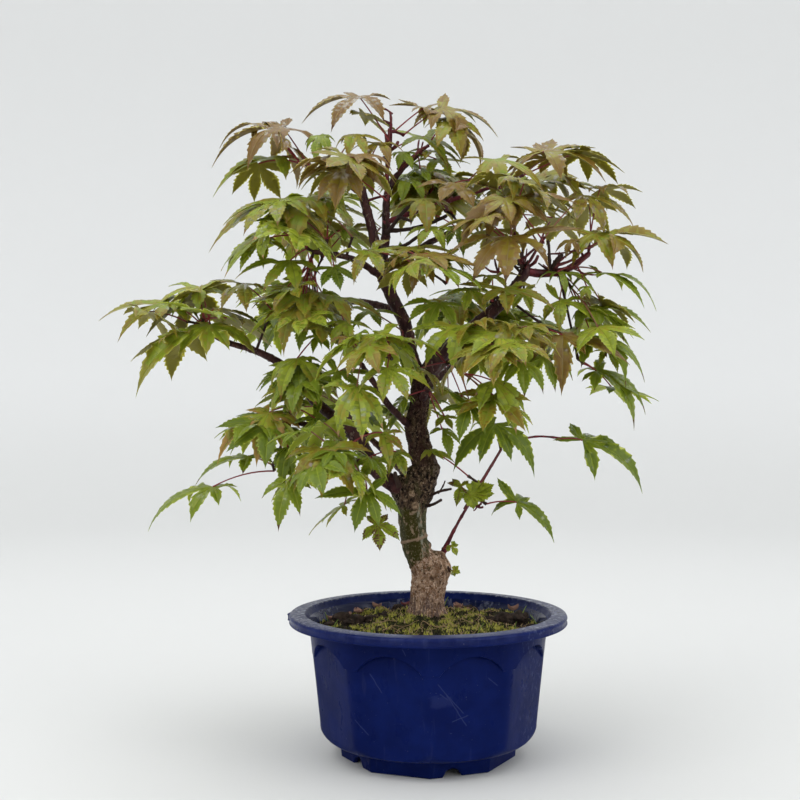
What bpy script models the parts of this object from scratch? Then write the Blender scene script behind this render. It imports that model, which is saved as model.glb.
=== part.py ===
"""Potted Japanese maple, grown as a bonsai in a blue plastic pot.

Sizes are in millimetres from the pot's axis at table height: x to the right, y away
from the front, z up. Every piece hangs on one empty that stands on that axis, and
to_metres() scales a size when it goes into a mesh.
"""
import math
import random

import bmesh
import bpy
from mathutils import Matrix, Vector, noise
from mathutils.bvhtree import BVHTree

# ---- Driving dimensions -------------------------------------------------------------------
MILLIMETRE = 0.001
GAP = 0.3                         # clearance where one piece meets another

CROWN_LEFT, CROWN_RIGHT = 173, 129     # the furthest leaf tips, from the pot's axis
CROWN_FRONT, CROWN_BACK = 88, 92

POT_PANELS = 9
POT_STEPS = 36                    # facets round the pot, a whole number for each panel
FRONT_ANGLE = math.radians(270)   # one seam between panels faces the front

RIM_RADIUS, RIM_TOP = 73.8, 75.4
RIM_EDGE_ROUND = 1.8              # rounding of the rim's outer edge
RIM_MOUTH = 65.4                  # inner edge of the flat top of the rim
LIP_DROP, LIP_THICKNESS = 4.9, 1.9
FLANGE_THICKNESS = 2.2

BODY_TOP_RADIUS, BODY_TOP = 63.4, 72.0
BODY_LOW_RADIUS, BODY_LOW = 57.9, 18.0
CORNER_ROUND = 9.0                # bottom corner of the body
WALL = 1.9
FLOOR_UNDER, FLOOR_TOP = 9.0, 11.4
PANEL_BACKING = 1.6               # wall left behind a panel
INNER_STEP_TOP, INNER_STEP_FOOT = 66.0, 61.5

PANEL_PEAK, PANEL_SPRING, PANEL_FOOT = 63.5, 54.5, 12.5
PANEL_HALF_WIDTH = 17.2
PANEL_DRAFT = math.atan((BODY_TOP_RADIUS - BODY_LOW_RADIUS) / (BODY_TOP - BODY_LOW))

FOOT_RADIUS, FOOT_BORE = 46.5, 41.0
NOTCH_HALF_WIDTH, NOTCH_HEIGHT = 5.0, 4.1
NOTCH_ANGLES = (15, -57, -129, 87, 159)    # degrees from the front, to the right
DRAIN_RADIUS, DRAIN_CIRCLE, DRAIN_COUNT = 4.0, 26.0, 5

SOIL_TOP, SOIL_EDGE = 73.0, 67.5
SOIL_FLAT_RADIUS = 15.0           # level patch that the trunk stands on
FLARE_RIDGES, FLARE_DEPTH, FLARE_HEIGHT = 5, 0.13, 10.0
FOOT_TRIM = 1.0                   # how much of the trunk's foot is levelled

PAD_SEGMENTS, PAD_RINGS = 9, 6
PAD_EDGE_WAVE = 0.18              # how far a pad's outline swings in and out
PAD_LUMP = 0.24                   # how uneven its faces are
PAD_DROOP = 0.75                  # how far its edge hangs below its middle

PLASTIC_BLUE = (0.012, 0.028, 0.17)
SOIL_BROWN = (0.045, 0.03, 0.018)
BARK_BROWN = (0.16, 0.10, 0.065)
TWIG_RED = (0.13, 0.022, 0.022)
LEAF_GREEN = (0.17, 0.28, 0.03)
LEAF_BRONZE = (0.25, 0.13, 0.06)


# ---- Scene and small helpers --------------------------------------------------------------
def clear_scene():
    for leftover in list(bpy.data.objects):
        bpy.data.objects.remove(leftover, do_unlink=True)


def make_collection(name):
    collection = bpy.data.collections.new(name)
    bpy.context.scene.collection.children.link(collection)
    return collection


def make_material(name, colour, roughness, metallic=0.0):
    material = bpy.data.materials.new(name)
    material.use_nodes = True
    shader = material.node_tree.nodes["Principled BSDF"]
    shader.inputs["Base Color"].default_value = (*colour, 1.0)
    shader.inputs["Roughness"].default_value = roughness
    shader.inputs["Metallic"].default_value = metallic
    return material


def to_metres(*sizes):
    return Vector(sizes) * MILLIMETRE


def add_piece(name, mesh, material):
    piece = bpy.data.objects.new(name, mesh)
    mesh.materials.append(material)
    piece.parent = pot_axis
    tree_collection.objects.link(piece)
    return piece


def make_cutter(cutter):
    """Moves a solid to the cutters' collection, where it shows as wire and isn't rendered."""
    for home in list(cutter.users_collection):
        home.objects.unlink(cutter)
    cutter_collection.objects.link(cutter)
    cutter.parent = pot_axis
    cutter.hide_render = True
    cutter.display_type = "WIRE"
    return cutter


def cut(piece, cutter, operation="DIFFERENCE"):
    modifier = piece.modifiers.new(cutter.name, "BOOLEAN")
    modifier.operation = operation
    modifier.object = cutter
    modifier.solver = "EXACT"


def arc(centre, radius, start, end, steps):
    """Points on an arc in the profile's plane, angles in degrees from +X towards +Z."""
    angles = [math.radians(start + (end - start) * i / steps) for i in range(steps + 1)]
    return [(centre[0] + radius * math.cos(a), centre[1] + radius * math.sin(a)) for a in angles]


def turned_piece(name, profile, material):
    """Turns an (across, up) profile round the pot's axis. It ends on the axis at both ends."""
    mesh = bpy.data.meshes.new(name)
    points = [to_metres(across, 0, up) for across, up in profile]
    mesh.from_pydata(points, [(i, i + 1) for i in range(len(points) - 1)], [])
    piece = add_piece(name, mesh, material)
    screw = piece.modifiers.new("turn", "SCREW")
    screw.steps = screw.render_steps = POT_STEPS
    screw.use_merge_vertices = True
    screw.merge_threshold = 0.00001
    screw.use_smooth_shade = True
    return piece


# ---- Pot and soil -------------------------------------------------------------------------
def body_radius(height):
    share = (height - BODY_LOW) / (BODY_TOP - BODY_LOW)
    return BODY_LOW_RADIUS + (BODY_TOP_RADIUS - BODY_LOW_RADIUS) * share


def panel_distance(height):
    """How far a panel's flat face lies from the axis: the chord of the body at its edges."""
    radius = body_radius(height)
    return math.sqrt(radius ** 2 - PANEL_HALF_WIDTH ** 2)


def inner_wall(clearance):
    """The inside of the pot from its floor to the soil line, moved in by a clearance."""
    foot = panel_distance(BODY_LOW) - PANEL_BACKING - clearance
    floor = FLOOR_TOP + clearance
    corner = CORNER_ROUND * 0.6
    wall = arc((foot - corner, floor + corner), corner, -90, 0, 2)
    wall.append((panel_distance(INNER_STEP_FOOT) - PANEL_BACKING - clearance, INNER_STEP_FOOT))
    wall.append((body_radius(INNER_STEP_TOP) - WALL - clearance, INNER_STEP_TOP))
    return wall


def make_pot():
    inside = [(0, FLOOR_TOP), *inner_wall(0), (body_radius(RIM_TOP - 5) - WALL, RIM_TOP - 5)]
    edge_centre = (RIM_RADIUS - RIM_EDGE_ROUND, RIM_TOP - RIM_EDGE_ROUND)
    rim = [(RIM_MOUTH, RIM_TOP), *arc(edge_centre, RIM_EDGE_ROUND, 90, 0, 2)]
    lip_foot = RIM_TOP - LIP_DROP
    under = RIM_TOP - FLANGE_THICKNESS
    rim += [(RIM_RADIUS, lip_foot), (RIM_RADIUS - LIP_THICKNESS, lip_foot)]
    rim += [(RIM_RADIUS - LIP_THICKNESS, under), (body_radius(BODY_TOP) + 0.6, under)]
    corner_centre = (body_radius(BODY_LOW) - CORNER_ROUND, FLOOR_UNDER + CORNER_ROUND)
    outside = [(body_radius(BODY_TOP), BODY_TOP), *arc(corner_centre, CORNER_ROUND, 0, -90, 3)]
    pot = turned_piece("pot", inside + rim + outside + [(0, FLOOR_UNDER)], blue_plastic)
    for number in range(POT_PANELS):
        cut(pot, panel_cutter(number))
    cut(pot, foot_ring(), "UNION")
    for number in range(DRAIN_COUNT):
        cut(pot, drain_cutter(number))
    return pot


def panel_cutter(number):
    """The arch-topped flat that is sunk into the body between two seams."""
    name = f"panel_cutter_{number}"
    rise = PANEL_PEAK - PANEL_SPRING
    arch_radius = (PANEL_HALF_WIDTH ** 2 + rise ** 2) / (2 * rise)
    half_arch = math.degrees(math.asin(PANEL_HALF_WIDTH / arch_radius))
    outline = arc((0, PANEL_PEAK - arch_radius), arch_radius, 90 - half_arch, 90 + half_arch, 5)
    outline += [(-PANEL_HALF_WIDTH, PANEL_FOOT), (PANEL_HALF_WIDTH, PANEL_FOOT)]
    depth = 8.0
    shape = bpy.data.curves.new(name, "CURVE")
    shape.dimensions = "2D"
    shape.fill_mode = "BOTH"
    shape.extrude = depth / 2 * MILLIMETRE
    spline = shape.splines.new("POLY")
    spline.points.add(len(outline) - 1)
    for point, (across, up) in zip(spline.points, outline):
        point.co = (*to_metres(across, up, 0), 1)
    spline.use_cyclic_u = True
    cutter = solid_from_curve(name, shape)
    # the outline stands up, leans back with the body's draft, then turns to its panel
    angle = FRONT_ANGLE + (number + 0.5) * math.tau / POT_PANELS
    stand = Matrix.Rotation(math.pi / 2, 4, "X")
    out = Matrix.Translation(to_metres(0, -(panel_distance(0) + depth / 2), 0))
    lean = Matrix.Rotation(PANEL_DRAFT, 4, "X")
    turn = Matrix.Rotation(angle - FRONT_ANGLE, 4, "Z")
    cutter.data.transform(turn @ out @ lean @ stand)
    return make_cutter(cutter)


def foot_ring():
    """The nine-sided ring that the pot stands on, open in the middle and notched."""
    top = FLOOR_UNDER + 1.0
    bpy.ops.mesh.primitive_cylinder_add(
        vertices=POT_PANELS, radius=FOOT_RADIUS * MILLIMETRE, depth=top * MILLIMETRE,
        location=to_metres(0, 0, top / 2), rotation=(0, 0, math.pi))
    ring = bpy.context.object
    ring.name = "foot_ring"
    bpy.ops.mesh.primitive_cylinder_add(
        vertices=POT_STEPS, radius=FOOT_BORE * MILLIMETRE, depth=4 * top * MILLIMETRE)
    bore = bpy.context.object
    bore.name = "foot_bore"
    cut(make_cutter(ring), make_cutter(bore))
    for angle in NOTCH_ANGLES:
        cut(ring, notch_cutter(angle))
    return ring


def notch_cutter(angle):
    """A half-round drain notch under the foot ring, at degrees from the front."""
    middle = (FOOT_RADIUS + FOOT_BORE) / 2
    bpy.ops.mesh.primitive_cylinder_add(
        vertices=12, radius=NOTCH_HALF_WIDTH * MILLIMETRE, depth=16 * MILLIMETRE)
    notch = bpy.context.object
    notch.name = f"notch_cutter_{angle}"
    squeeze = Matrix.Diagonal((1, 1, NOTCH_HEIGHT / NOTCH_HALF_WIDTH, 1))
    out = Matrix.Translation(to_metres(0, -middle, 0))
    lie = Matrix.Rotation(math.pi / 2, 4, "X")
    turn = Matrix.Rotation(math.radians(angle), 4, "Z")
    notch.data.transform(turn @ out @ squeeze @ lie)
    return make_cutter(notch)


def drain_cutter(number):
    angle = math.tau * number / DRAIN_COUNT
    place = to_metres(DRAIN_CIRCLE * math.cos(angle), DRAIN_CIRCLE * math.sin(angle), FLOOR_TOP)
    bpy.ops.mesh.primitive_cylinder_add(
        vertices=12, radius=DRAIN_RADIUS * MILLIMETRE, depth=2 * FLOOR_TOP * MILLIMETRE,
        location=place)
    drain = bpy.context.object
    drain.name = f"drain_cutter_{number}"
    return make_cutter(drain)


def make_soil():
    """The earth that fills the pot, heaped a little round the foot of the trunk."""
    edge = body_radius(SOIL_EDGE) - WALL - GAP
    top = [(0, SOIL_TOP - GAP), (SOIL_FLAT_RADIUS, SOIL_TOP - GAP)]
    for share in (0.35, 0.7, 1.0):
        across = SOIL_FLAT_RADIUS + (edge - SOIL_FLAT_RADIUS) * share
        top.append((across, SOIL_EDGE + (SOIL_TOP - SOIL_EDGE) * (1 - share) ** 1.6))
    side = list(reversed(inner_wall(GAP)))
    return turned_piece("soil", top + side + [(0, FLOOR_TOP + GAP)], earth)


# ---- Trunk and boughs ---------------------------------------------------------------------
def solid_from_curve(name, shape):
    """Turns curve data into a mesh object with welded caps."""
    curve = bpy.data.objects.new(name + "_curve", shape)
    tree_collection.objects.link(curve)
    curve.parent = pot_axis
    bpy.context.view_layer.update()
    evaluated = curve.evaluated_get(bpy.context.evaluated_depsgraph_get())
    mesh = bpy.data.meshes.new_from_object(evaluated)
    mesh.name = name
    solid = bpy.data.objects.new(name, mesh)
    solid.parent = pot_axis
    tree_collection.objects.link(solid)
    solid.matrix_world = curve.matrix_world
    bpy.data.objects.remove(curve)
    bm = bmesh.new()
    bm.from_mesh(mesh)
    bmesh.ops.remove_doubles(bm, verts=bm.verts, dist=0.00001)
    bmesh.ops.recalc_face_normals(bm, faces=bm.faces)
    bm.to_mesh(mesh)
    bm.free()
    return solid


def smooth_route(route, steps):
    """Catmull-Rom through (x, y, z, thickness) points, with a number of steps a span."""
    first = [2 * a - b for a, b in zip(route[0], route[1])]
    last = [2 * a - b for a, b in zip(route[-1], route[-2])]
    points = [first, *route, last]
    stations = []
    for i in range(1, len(points) - 2):
        before, start, end, after = points[i - 1:i + 3]
        for step in range(steps):
            t = step / steps
            stations.append([
                0.5 * (2 * b + (c - a) * t + (2 * a - 5 * b + 4 * c - d) * t ** 2
                       + (3 * b - a - 3 * c + d) * t ** 3)
                for a, b, c, d in zip(before, start, end, after)])
    return [*stations, list(route[-1])]


def tapered_limb(name, stations, swell=0.0, sides=6):
    """A limb along (x, y, z, thickness) stations, thicker all round by a swell."""
    shape = bpy.data.curves.new(name, "CURVE")
    shape.dimensions = "3D"
    shape.bevel_depth = MILLIMETRE
    shape.bevel_resolution = (sides - 4) // 2
    shape.use_fill_caps = True
    spline = shape.splines.new("POLY")
    spline.points.add(len(stations) - 1)
    for point, (x, y, z, thickness) in zip(spline.points, stations):
        point.co = (*to_metres(x, y, z), 1)
        point.radius = thickness / 2 + swell
    return solid_from_curve(name, shape)


def moved_on(end, before, length):
    """An end station moved on by a length, away from the station before it."""
    tip = Vector(end[:3])
    return [*(tip + (tip - Vector(before[:3])).normalized() * length), end[3]]


def with_longer_ends(stations, length):
    root = moved_on(stations[0], stations[1], length)
    tip = moved_on(stations[-1], stations[-2], length)
    return [root, *stations[1:-1], tip]


def make_limb(name, route, material, grows_from, steps=2, sides=6):
    """A bough whose root is cut to the limbs it grows from. It also leaves its own cutter."""
    stations = smooth_route(route, steps)
    limb = tapered_limb(name, stations, sides=sides)
    limb.data.materials.append(material)
    for parent in grows_from:
        cut(limb, limb_cutters[parent])
    swollen = tapered_limb(name + "_cutter", with_longer_ends(stations, GAP), GAP, sides)
    limb_cutters[name] = make_cutter(swollen)
    return limb


def flare_roots(trunk):
    """Cuts the trunk's foot level and gives it ridges, where the roots spread out."""
    for vertex in trunk.data.vertices:
        x, y, z = vertex.co / MILLIMETRE
        if z < SOIL_TOP + FOOT_TRIM:
            vertex.co.z = SOIL_TOP * MILLIMETRE
        fade = max(0.0, 1 - (z - SOIL_TOP) / FLARE_HEIGHT) ** 2
        across, back = x - TRUNK_ROUTE[0][0], y - TRUNK_ROUTE[0][1]
        ridge = 1 + FLARE_DEPTH * fade * math.cos(FLARE_RIDGES * math.atan2(back, across) + 0.7)
        vertex.co.x = (x + across * (ridge - 1)) * MILLIMETRE
        vertex.co.y = (y + back * (ridge - 1)) * MILLIMETRE


# x, y, z and thickness from the soil up: flare, burr on the right, slim green middle,
# scarred knob, dark upper part, fork
TRUNK_ROUTE = (
    (-0.8, 5.0, 73.0, 24.0), (-0.6, 5.0, 78.0, 19.0), (0.0, 5.0, 84.0, 18.0),
    (1.6, 5.0, 97.0, 21.0), (0.6, 4.5, 105.0, 20.0), (-4.6, 4.0, 112.0, 15.5),
    (-7.4, 3.5, 121.0, 14.6), (-8.2, 3.0, 130.0, 15.5), (-6.6, 3.5, 141.0, 20.5),
    (-1.8, 4.0, 152.0, 14.2), (-4.2, 4.0, 163.0, 12.4), (-6.4, 3.5, 174.0, 11.6),
    (-4.6, 3.0, 187.0, 9.8), (-3.2, 3.0, 198.0, 11.6), (-2.8, 3.0, 206.0, 12.6))

# name: the limbs that it grows from, then its route from root to tip
BOUGHS = {
    "leader": (("trunk",), (
        (-5.0, 4, 200, 7.6), (-9.4, 4, 214, 7.0), (-12.3, 4, 229, 6.6), (-20.0, 2, 245, 6.6),
        (-25.6, 0, 259, 7.6))),
    "leader_left_arm": (("leader",), (
        (-24.4, 0.2, 254, 4.6), (-29.4, -3, 277, 5.0), (-33.2, -5, 291, 4.6),
        (-35.4, -6, 301, 4.2))),
    "leader_right_arm": (("leader", "leader_left_arm"), (
        (-25.2, 1, 256, 5.0), (-22.6, 4, 277, 4.6), (-22.6, 5, 291, 4.0), (-20.8, 6, 303, 3.4),
        (-13.4, 9, 314, 2.6), (-4.8, 11, 322, 2.2))),
    "apex_shoot": (("leader_right_arm",), (
        (-22.0, 5, 299, 2.6), (-22.0, 2, 311, 2.4), (-20.3, 0, 325, 2.0), (-19.8, -1, 336, 1.7))),
    "bough_shoulder_left": (("leader_left_arm",), (
        (-34.8, -6, 297, 2.8), (-46.0, -8, 304, 2.4), (-61.0, -8, 309, 1.9))),
    "bough_upper_left": (("leader", "leader_left_arm"), (
        (-24.6, 0, 254, 3.8), (-37.4, -6, 262, 3.4), (-47.0, -10, 264.5, 2.8),
        (-60.0, -14, 266, 2.2))),
    "bough_upper_right": (("leader_right_arm",), (
        (-22.6, 4, 284, 3.0), (-6.0, 10, 291, 2.8), (14.0, 14, 298, 2.4), (36.0, 14, 305, 2.0))),
    "bough_right": (("trunk", "leader"), (
        (-2.0, 3, 201, 8.8), (6.0, 1, 212, 8.4), (17.6, -2, 222, 7.8), (35.3, -6, 236.5, 7.0),
        (48.7, -5, 252, 7.0), (52.0, -4, 260, 7.6))),
    "bough_right_tip": (("bough_right",), (
        (51.0, -4, 257, 4.4), (61.0, -2, 256, 4.2), (73.8, 0, 258, 3.6), (86.0, 2, 266.5, 3.0))),
    "bough_left_low": (("trunk",), (
        (-10.0, 3, 139, 9.4), (-20.0, -1, 144.5, 8.6), (-27.8, -6, 152, 8.0),
        (-40.6, -14, 173, 7.6), (-44.4, -16, 179, 7.8))),
    "bough_left_long": (("bough_left_low",), (
        (-38.0, -12, 169, 5.6), (-47.0, -2, 177, 5.6), (-56.7, 4, 184, 5.4),
        (-63.6, 6, 191, 5.0), (-70.6, 5, 201, 4.6))),
    "bough_left_end": (("bough_left_long",), (
        (-69.6, 5.2, 199, 4.4), (-79.0, 3, 207.7, 4.2), (-92.0, 0, 214.6, 3.6),
        (-109.0, -3, 220, 2.8), (-122.0, -5, 228.5, 2.4))),
    "bough_centre_left": (("trunk",), (
        (-6.4, 3, 171, 3.8), (-20.3, -8, 185, 3.4), (-27.0, -14, 195, 3.0),
        (-35.0, -22, 207, 2.4))),
    "bough_front": (("trunk",), (
        (-4.0, 2, 188, 4.0), (2.0, -16, 197, 3.6), (12.0, -40, 206, 2.4))),
    "bough_low_front": (("bough_left_low",), (
        (-28.0, -6, 153, 3.8), (-33.0, -26, 156, 3.2), (-42.0, -44, 160, 2.4))),
    "bough_low_left": (("bough_left_low",), (
        (-39.0, -13, 170, 3.6), (-54.0, -16, 174, 3.0), (-72.0, -16, 177, 2.2))),
    "bough_back_low": (("trunk",), (
        (-6.6, 4, 142, 4.4), (-22.0, 26, 158, 3.8), (-38.0, 48, 172, 2.6))),
    "bough_back_right": (("trunk",), (
        (-1.0, 4, 199, 5.0), (15.0, 26, 214, 4.4), (38.0, 52, 228, 2.8))),
    "bough_back_left": (("leader",), (
        (-15.0, 3, 236, 4.2), (-38.0, 26, 243, 3.6), (-62.0, 48, 243, 2.6))),
    "bough_back_top": (("leader", "leader_right_arm"), (
        (-24.4, 1, 257, 4.0), (-2.0, 26, 274, 3.4), (28.0, 46, 292, 2.4))),
    "whip_shoot": (("trunk",), (
        (7.0, 3, 104, 3.2), (14.0, 0, 119, 2.7), (21.4, -3, 132.5, 2.4), (38.5, -6, 162, 2.0))),
    "whip_stalk": ((), (
        (44.0, -6, 166, 1.2), (58.0, -4, 169, 1.1), (76.0, -2, 167.5, 1.1))),
}
RED_LIMBS = ("apex_shoot", "bough_shoulder_left", "bough_upper_right", "whip_shoot", "whip_stalk")


def make_boughs():
    for name, (grows_from, route) in BOUGHS.items():
        material = red_twig if name in RED_LIMBS else bark
        make_limb(name, route, material, grows_from)


# ---- Foliage ------------------------------------------------------------------------------
# each pad's reach across, its depth from front to back, and its height
FOLIAGE = {
    "apex_left": ((-66, -18), (-22, 24), (326, 353)),
    "apex_right": ((-16, 38), (-14, 36), (318, 355)),
    "top_front": ((-66, -16), (-62, -8), (287, 325)),
    "top_back": ((-24, 30), (8, 66), (287, 322)),
    "shoulder_left": ((-114, -56), (-32, 20), (294, 336)),
    "upper_left": ((-116, -42), (-52, 16), (251, 298)),
    "upper_back_left": ((-92, -28), (16, 86), (256, 311)),
    "shoulder_right": ((42, 108), (-10, 36), (303, 332)),
    "shoulder_right_low": ((72, 114), (0, 44), (276, 311)),
    "upper_right_front": ((8, 67), (-62, -2), (251, 310)),
    "upper_right_back": ((26, 95), (20, 90), (268, 329)),
    "right_tip": ((82, 129), (-20, 26), (257, 281)),
    "right_tip_low": ((74, 123), (-32, 18), (225, 260)),
    "centre_high": ((-29, 22), (-74, -12), (243, 269)),
    "left_long_tip": ((-173, -132), (-26, 10), (219, 241)),
    "left_long": ((-155, -86), (-36, 22), (189, 253)),
    "left_middle": ((-90, -40), (-46, 22), (209, 258)),
    "left_middle_back": ((-111, -46), (20, 84), (207, 263)),
    "centre_front": ((-53, 7), (-82, -12), (187, 230)),
    "left_inner_low": ((-88, -46), (-36, 14), (184, 213)),
    "right_middle_front": ((2, 67), (-88, -14), (194, 237)),
    "right_middle": ((60, 117), (-40, 32), (203, 251)),
    "right_middle_low": ((75, 118), (-22, 22), (172, 208)),
    "right_low_front": ((17, 52), (-64, -20), (171, 198)),
    "right_inner_back": ((-10, 56), (18, 84), (219, 259)),
    "back_right_low": ((22, 88), (30, 92), (200, 248)),
    "centre_back": ((-26, 36), (6, 60), (145, 202)),
    "low_left": ((-113, -58), (-44, 14), (153, 192)),
    "low_left_tip": ((-146, -84), (-32, 8), (119, 162)),
    "low_left_front": ((-80, -21), (-84, -20), (122, 184)),
    "low_front": ((-58, -14), (-72, -24), (113, 148)),
    "low_back_left": ((-88, -14), (22, 92), (147, 206)),
    "whip_crown": ((14, 56), (-28, 14), (146, 180)),
    "whip_far": ((66, 116), (-18, 16), (138, 178)),
    "whip_low": ((14, 67), (-20, 14), (113, 149)),
}
BRONZE_PADS = ("apex_left", "apex_right", "top_front", "shoulder_left", "shoulder_right",
               "shoulder_right_low", "upper_right_front", "right_tip")


def lens_of_leaves(name, ranges):
    """A drooping lens with an uneven edge, stretched to fill its three ranges."""
    rng = random.Random(name)
    waves, phase = rng.choice((3, 4, 5)), rng.uniform(0, math.tau)
    shift = Vector((rng.uniform(0, 50), rng.uniform(0, 50), rng.uniform(0, 50)))
    bm = bmesh.new()
    bmesh.ops.create_uvsphere(bm, u_segments=PAD_SEGMENTS, v_segments=PAD_RINGS, radius=1)
    for vertex in bm.verts:
        x, y, z = vertex.co
        wave = 1 + PAD_EDGE_WAVE * math.sin(waves * math.atan2(y, x) + phase)
        lump = PAD_LUMP * noise.noise(vertex.co * 1.6 + shift)
        droop = PAD_DROOP * (x * x + y * y)
        vertex.co = (x * wave * (1 + lump), y * wave * (1 + lump), z + lump - droop)
    for axis, (low, high) in enumerate(ranges):
        values = [vertex.co[axis] for vertex in bm.verts]
        least, span = min(values), max(values) - min(values)
        for vertex in bm.verts:
            share = (vertex.co[axis] - least) / span
            vertex.co[axis] = (low + (high - low) * share) * MILLIMETRE
    bmesh.ops.triangulate(bm, faces=bm.faces)
    return bm


def trim(bm, axis, place, keep_below):
    """Cuts a solid flat at a place on an axis and closes the cut."""
    normal = Vector((0, 0, 0))
    normal[axis] = 1 if keep_below else -1
    point = Vector((0, 0, 0))
    point[axis] = place * MILLIMETRE
    geometry = [*bm.verts, *bm.edges, *bm.faces]
    bmesh.ops.bisect_plane(bm, geom=geometry, dist=0.000001, plane_co=point, plane_no=normal,
                           clear_outer=True)
    bmesh.ops.holes_fill(bm, edges=[edge for edge in bm.edges if edge.is_boundary])
    keep_main_body(bm)


def keep_main_body(bm):
    """Drops the slivers that a cut leaves beside the main solid."""
    unseen, bodies = set(bm.faces), []
    while unseen:
        body, edge_of_search = set(), [unseen.pop()]
        while edge_of_search:
            face = edge_of_search.pop()
            body.add(face)
            beside = {other for edge in face.edges for other in edge.link_faces}
            edge_of_search += beside & unseen
            unseen -= beside
        bodies.append(body)
    for body in sorted(bodies, key=len)[:-1]:
        bmesh.ops.delete(bm, geom=list(body), context="FACES")
    bmesh.ops.recalc_face_normals(bm, faces=bm.faces)


def part_neighbours(pads):
    """Where two pads would run into each other, both end at a flat face with a gap between."""
    names = list(pads)
    for i, first in enumerate(names):
        for second in names[i + 1:]:
            trees = [BVHTree.FromBMesh(pads[name]) for name in (first, second)]
            if not trees[0].overlap(trees[1]):
                continue
            shared = []
            for axis in range(3):
                a, b = FOLIAGE[first][axis], FOLIAGE[second][axis]
                low, high = max(a[0], b[0]), min(a[1], b[1])
                width = min(a[1] - a[0], b[1] - b[0])
                shared.append(((high - low) / width, axis, (low + high) / 2))
            _, axis, middle = min(shared)
            first_below = sum(FOLIAGE[first][axis]) < sum(FOLIAGE[second][axis])
            for name, below in ((first, first_below), (second, not first_below)):
                trim(pads[name], axis, middle - GAP / 2 if below else middle + GAP / 2, below)


def make_foliage():
    pads = {name: lens_of_leaves(name, ranges) for name, ranges in FOLIAGE.items()}
    part_neighbours(pads)
    cutter_trees = {}
    for name, cutter in limb_cutters.items():
        bm = bmesh.new()
        bm.from_mesh(cutter.data)
        cutter_trees[name] = BVHTree.FromBMesh(bm)
        bm.free()
    for name, bm in pads.items():
        tree = BVHTree.FromBMesh(bm)
        mesh = bpy.data.meshes.new("foliage_" + name)
        bm.to_mesh(mesh)
        bm.free()
        pad = add_piece("foliage_" + name, mesh, bronze if name in BRONZE_PADS else green)
        for limb, limb_tree in cutter_trees.items():
            if tree.overlap(limb_tree):
                cut(pad, limb_cutters[limb])


# ---- Assembly -----------------------------------------------------------------------------
clear_scene()
tree_collection = make_collection("potted_japanese_maple")
cutter_collection = make_collection("cutters")

pot_axis = bpy.data.objects.new("pot_axis", None)
pot_axis.location = to_metres(
    (CROWN_LEFT - CROWN_RIGHT) / 2, (CROWN_FRONT - CROWN_BACK) / 2, 0)
tree_collection.objects.link(pot_axis)

blue_plastic = make_material("blue_plastic", PLASTIC_BLUE, 0.38)
earth = make_material("earth", SOIL_BROWN, 0.95)
bark = make_material("bark", BARK_BROWN, 0.85)
red_twig = make_material("red_twig", TWIG_RED, 0.6)
green = make_material("green_leaves", LEAF_GREEN, 0.5)
bronze = make_material("bronze_leaves", LEAF_BRONZE, 0.5)

limb_cutters = {}
make_pot()
make_soil()
flare_roots(make_limb("trunk", TRUNK_ROUTE, bark, (), steps=1, sides=12))
make_boughs()
make_foliage()
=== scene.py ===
"""The looks of a potted Japanese maple, grown as a bonsai in a blue plastic pot.

Sizes are in millimetres from the pot's axis at table height: x to the right, y away
from the front, z up. place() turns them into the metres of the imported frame.
"""
import math
import random
from types import SimpleNamespace

import bmesh
import bpy
import numpy as np
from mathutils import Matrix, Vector, noise


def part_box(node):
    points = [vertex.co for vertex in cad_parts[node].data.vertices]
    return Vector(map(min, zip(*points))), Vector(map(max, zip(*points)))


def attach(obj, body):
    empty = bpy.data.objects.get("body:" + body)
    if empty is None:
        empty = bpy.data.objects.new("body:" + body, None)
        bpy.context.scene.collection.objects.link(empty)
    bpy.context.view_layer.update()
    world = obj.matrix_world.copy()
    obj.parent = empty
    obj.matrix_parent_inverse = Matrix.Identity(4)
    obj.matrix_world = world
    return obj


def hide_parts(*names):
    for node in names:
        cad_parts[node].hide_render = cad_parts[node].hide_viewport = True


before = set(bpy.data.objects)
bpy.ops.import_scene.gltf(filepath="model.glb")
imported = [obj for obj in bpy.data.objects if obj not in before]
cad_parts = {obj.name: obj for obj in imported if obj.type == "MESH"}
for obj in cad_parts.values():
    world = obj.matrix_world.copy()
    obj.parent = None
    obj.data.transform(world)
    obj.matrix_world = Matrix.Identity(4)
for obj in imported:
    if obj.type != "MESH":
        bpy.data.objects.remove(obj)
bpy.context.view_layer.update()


# ---- Stage: floor, light and camera ---------------------------------------------------------
# The pot stands on a plain pale floor that sweeps up into a wall all round. Soft light comes
# from above and from the left, and the camera looks level at the foot of the crown.
MILLIMETRE = 0.001
EYE_LEFT, EYE_DISTANCE, EYE_HEIGHT = -15.0, 642.0, 188.4
LENS, SENSOR = 54.0, 36.0
# the stage and the lamps are in metres
LAMP_AIM = (0.0, 0.0, 0.2)
FLOOR_RADIUS, WALL_RADIUS, WALL_TOP = 1.2, 2.2, 2.4
BLEND_HEIGHT = 0.25               # up to here the floor's paint turns into the wall's
SWEEP_STEPS, TURN_STEPS = 12, 96
FLOOR_COLOUR = (0.67, 0.67, 0.655)
WALL_COLOUR = (0.735, 0.735, 0.725)

pot_low, pot_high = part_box("pot")
POT_AXIS = np.array([(pot_low.x + pot_high.x) / 2, (pot_low.y + pot_high.y) / 2, 0.0])


def place(points):
    """Millimetres from the pot's axis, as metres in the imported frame."""
    return np.asarray(points, float) * MILLIMETRE + POT_AXIS


def new_object(name, data):
    made = bpy.data.objects.new(name, data)
    bpy.context.scene.collection.objects.link(made)
    return made


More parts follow.
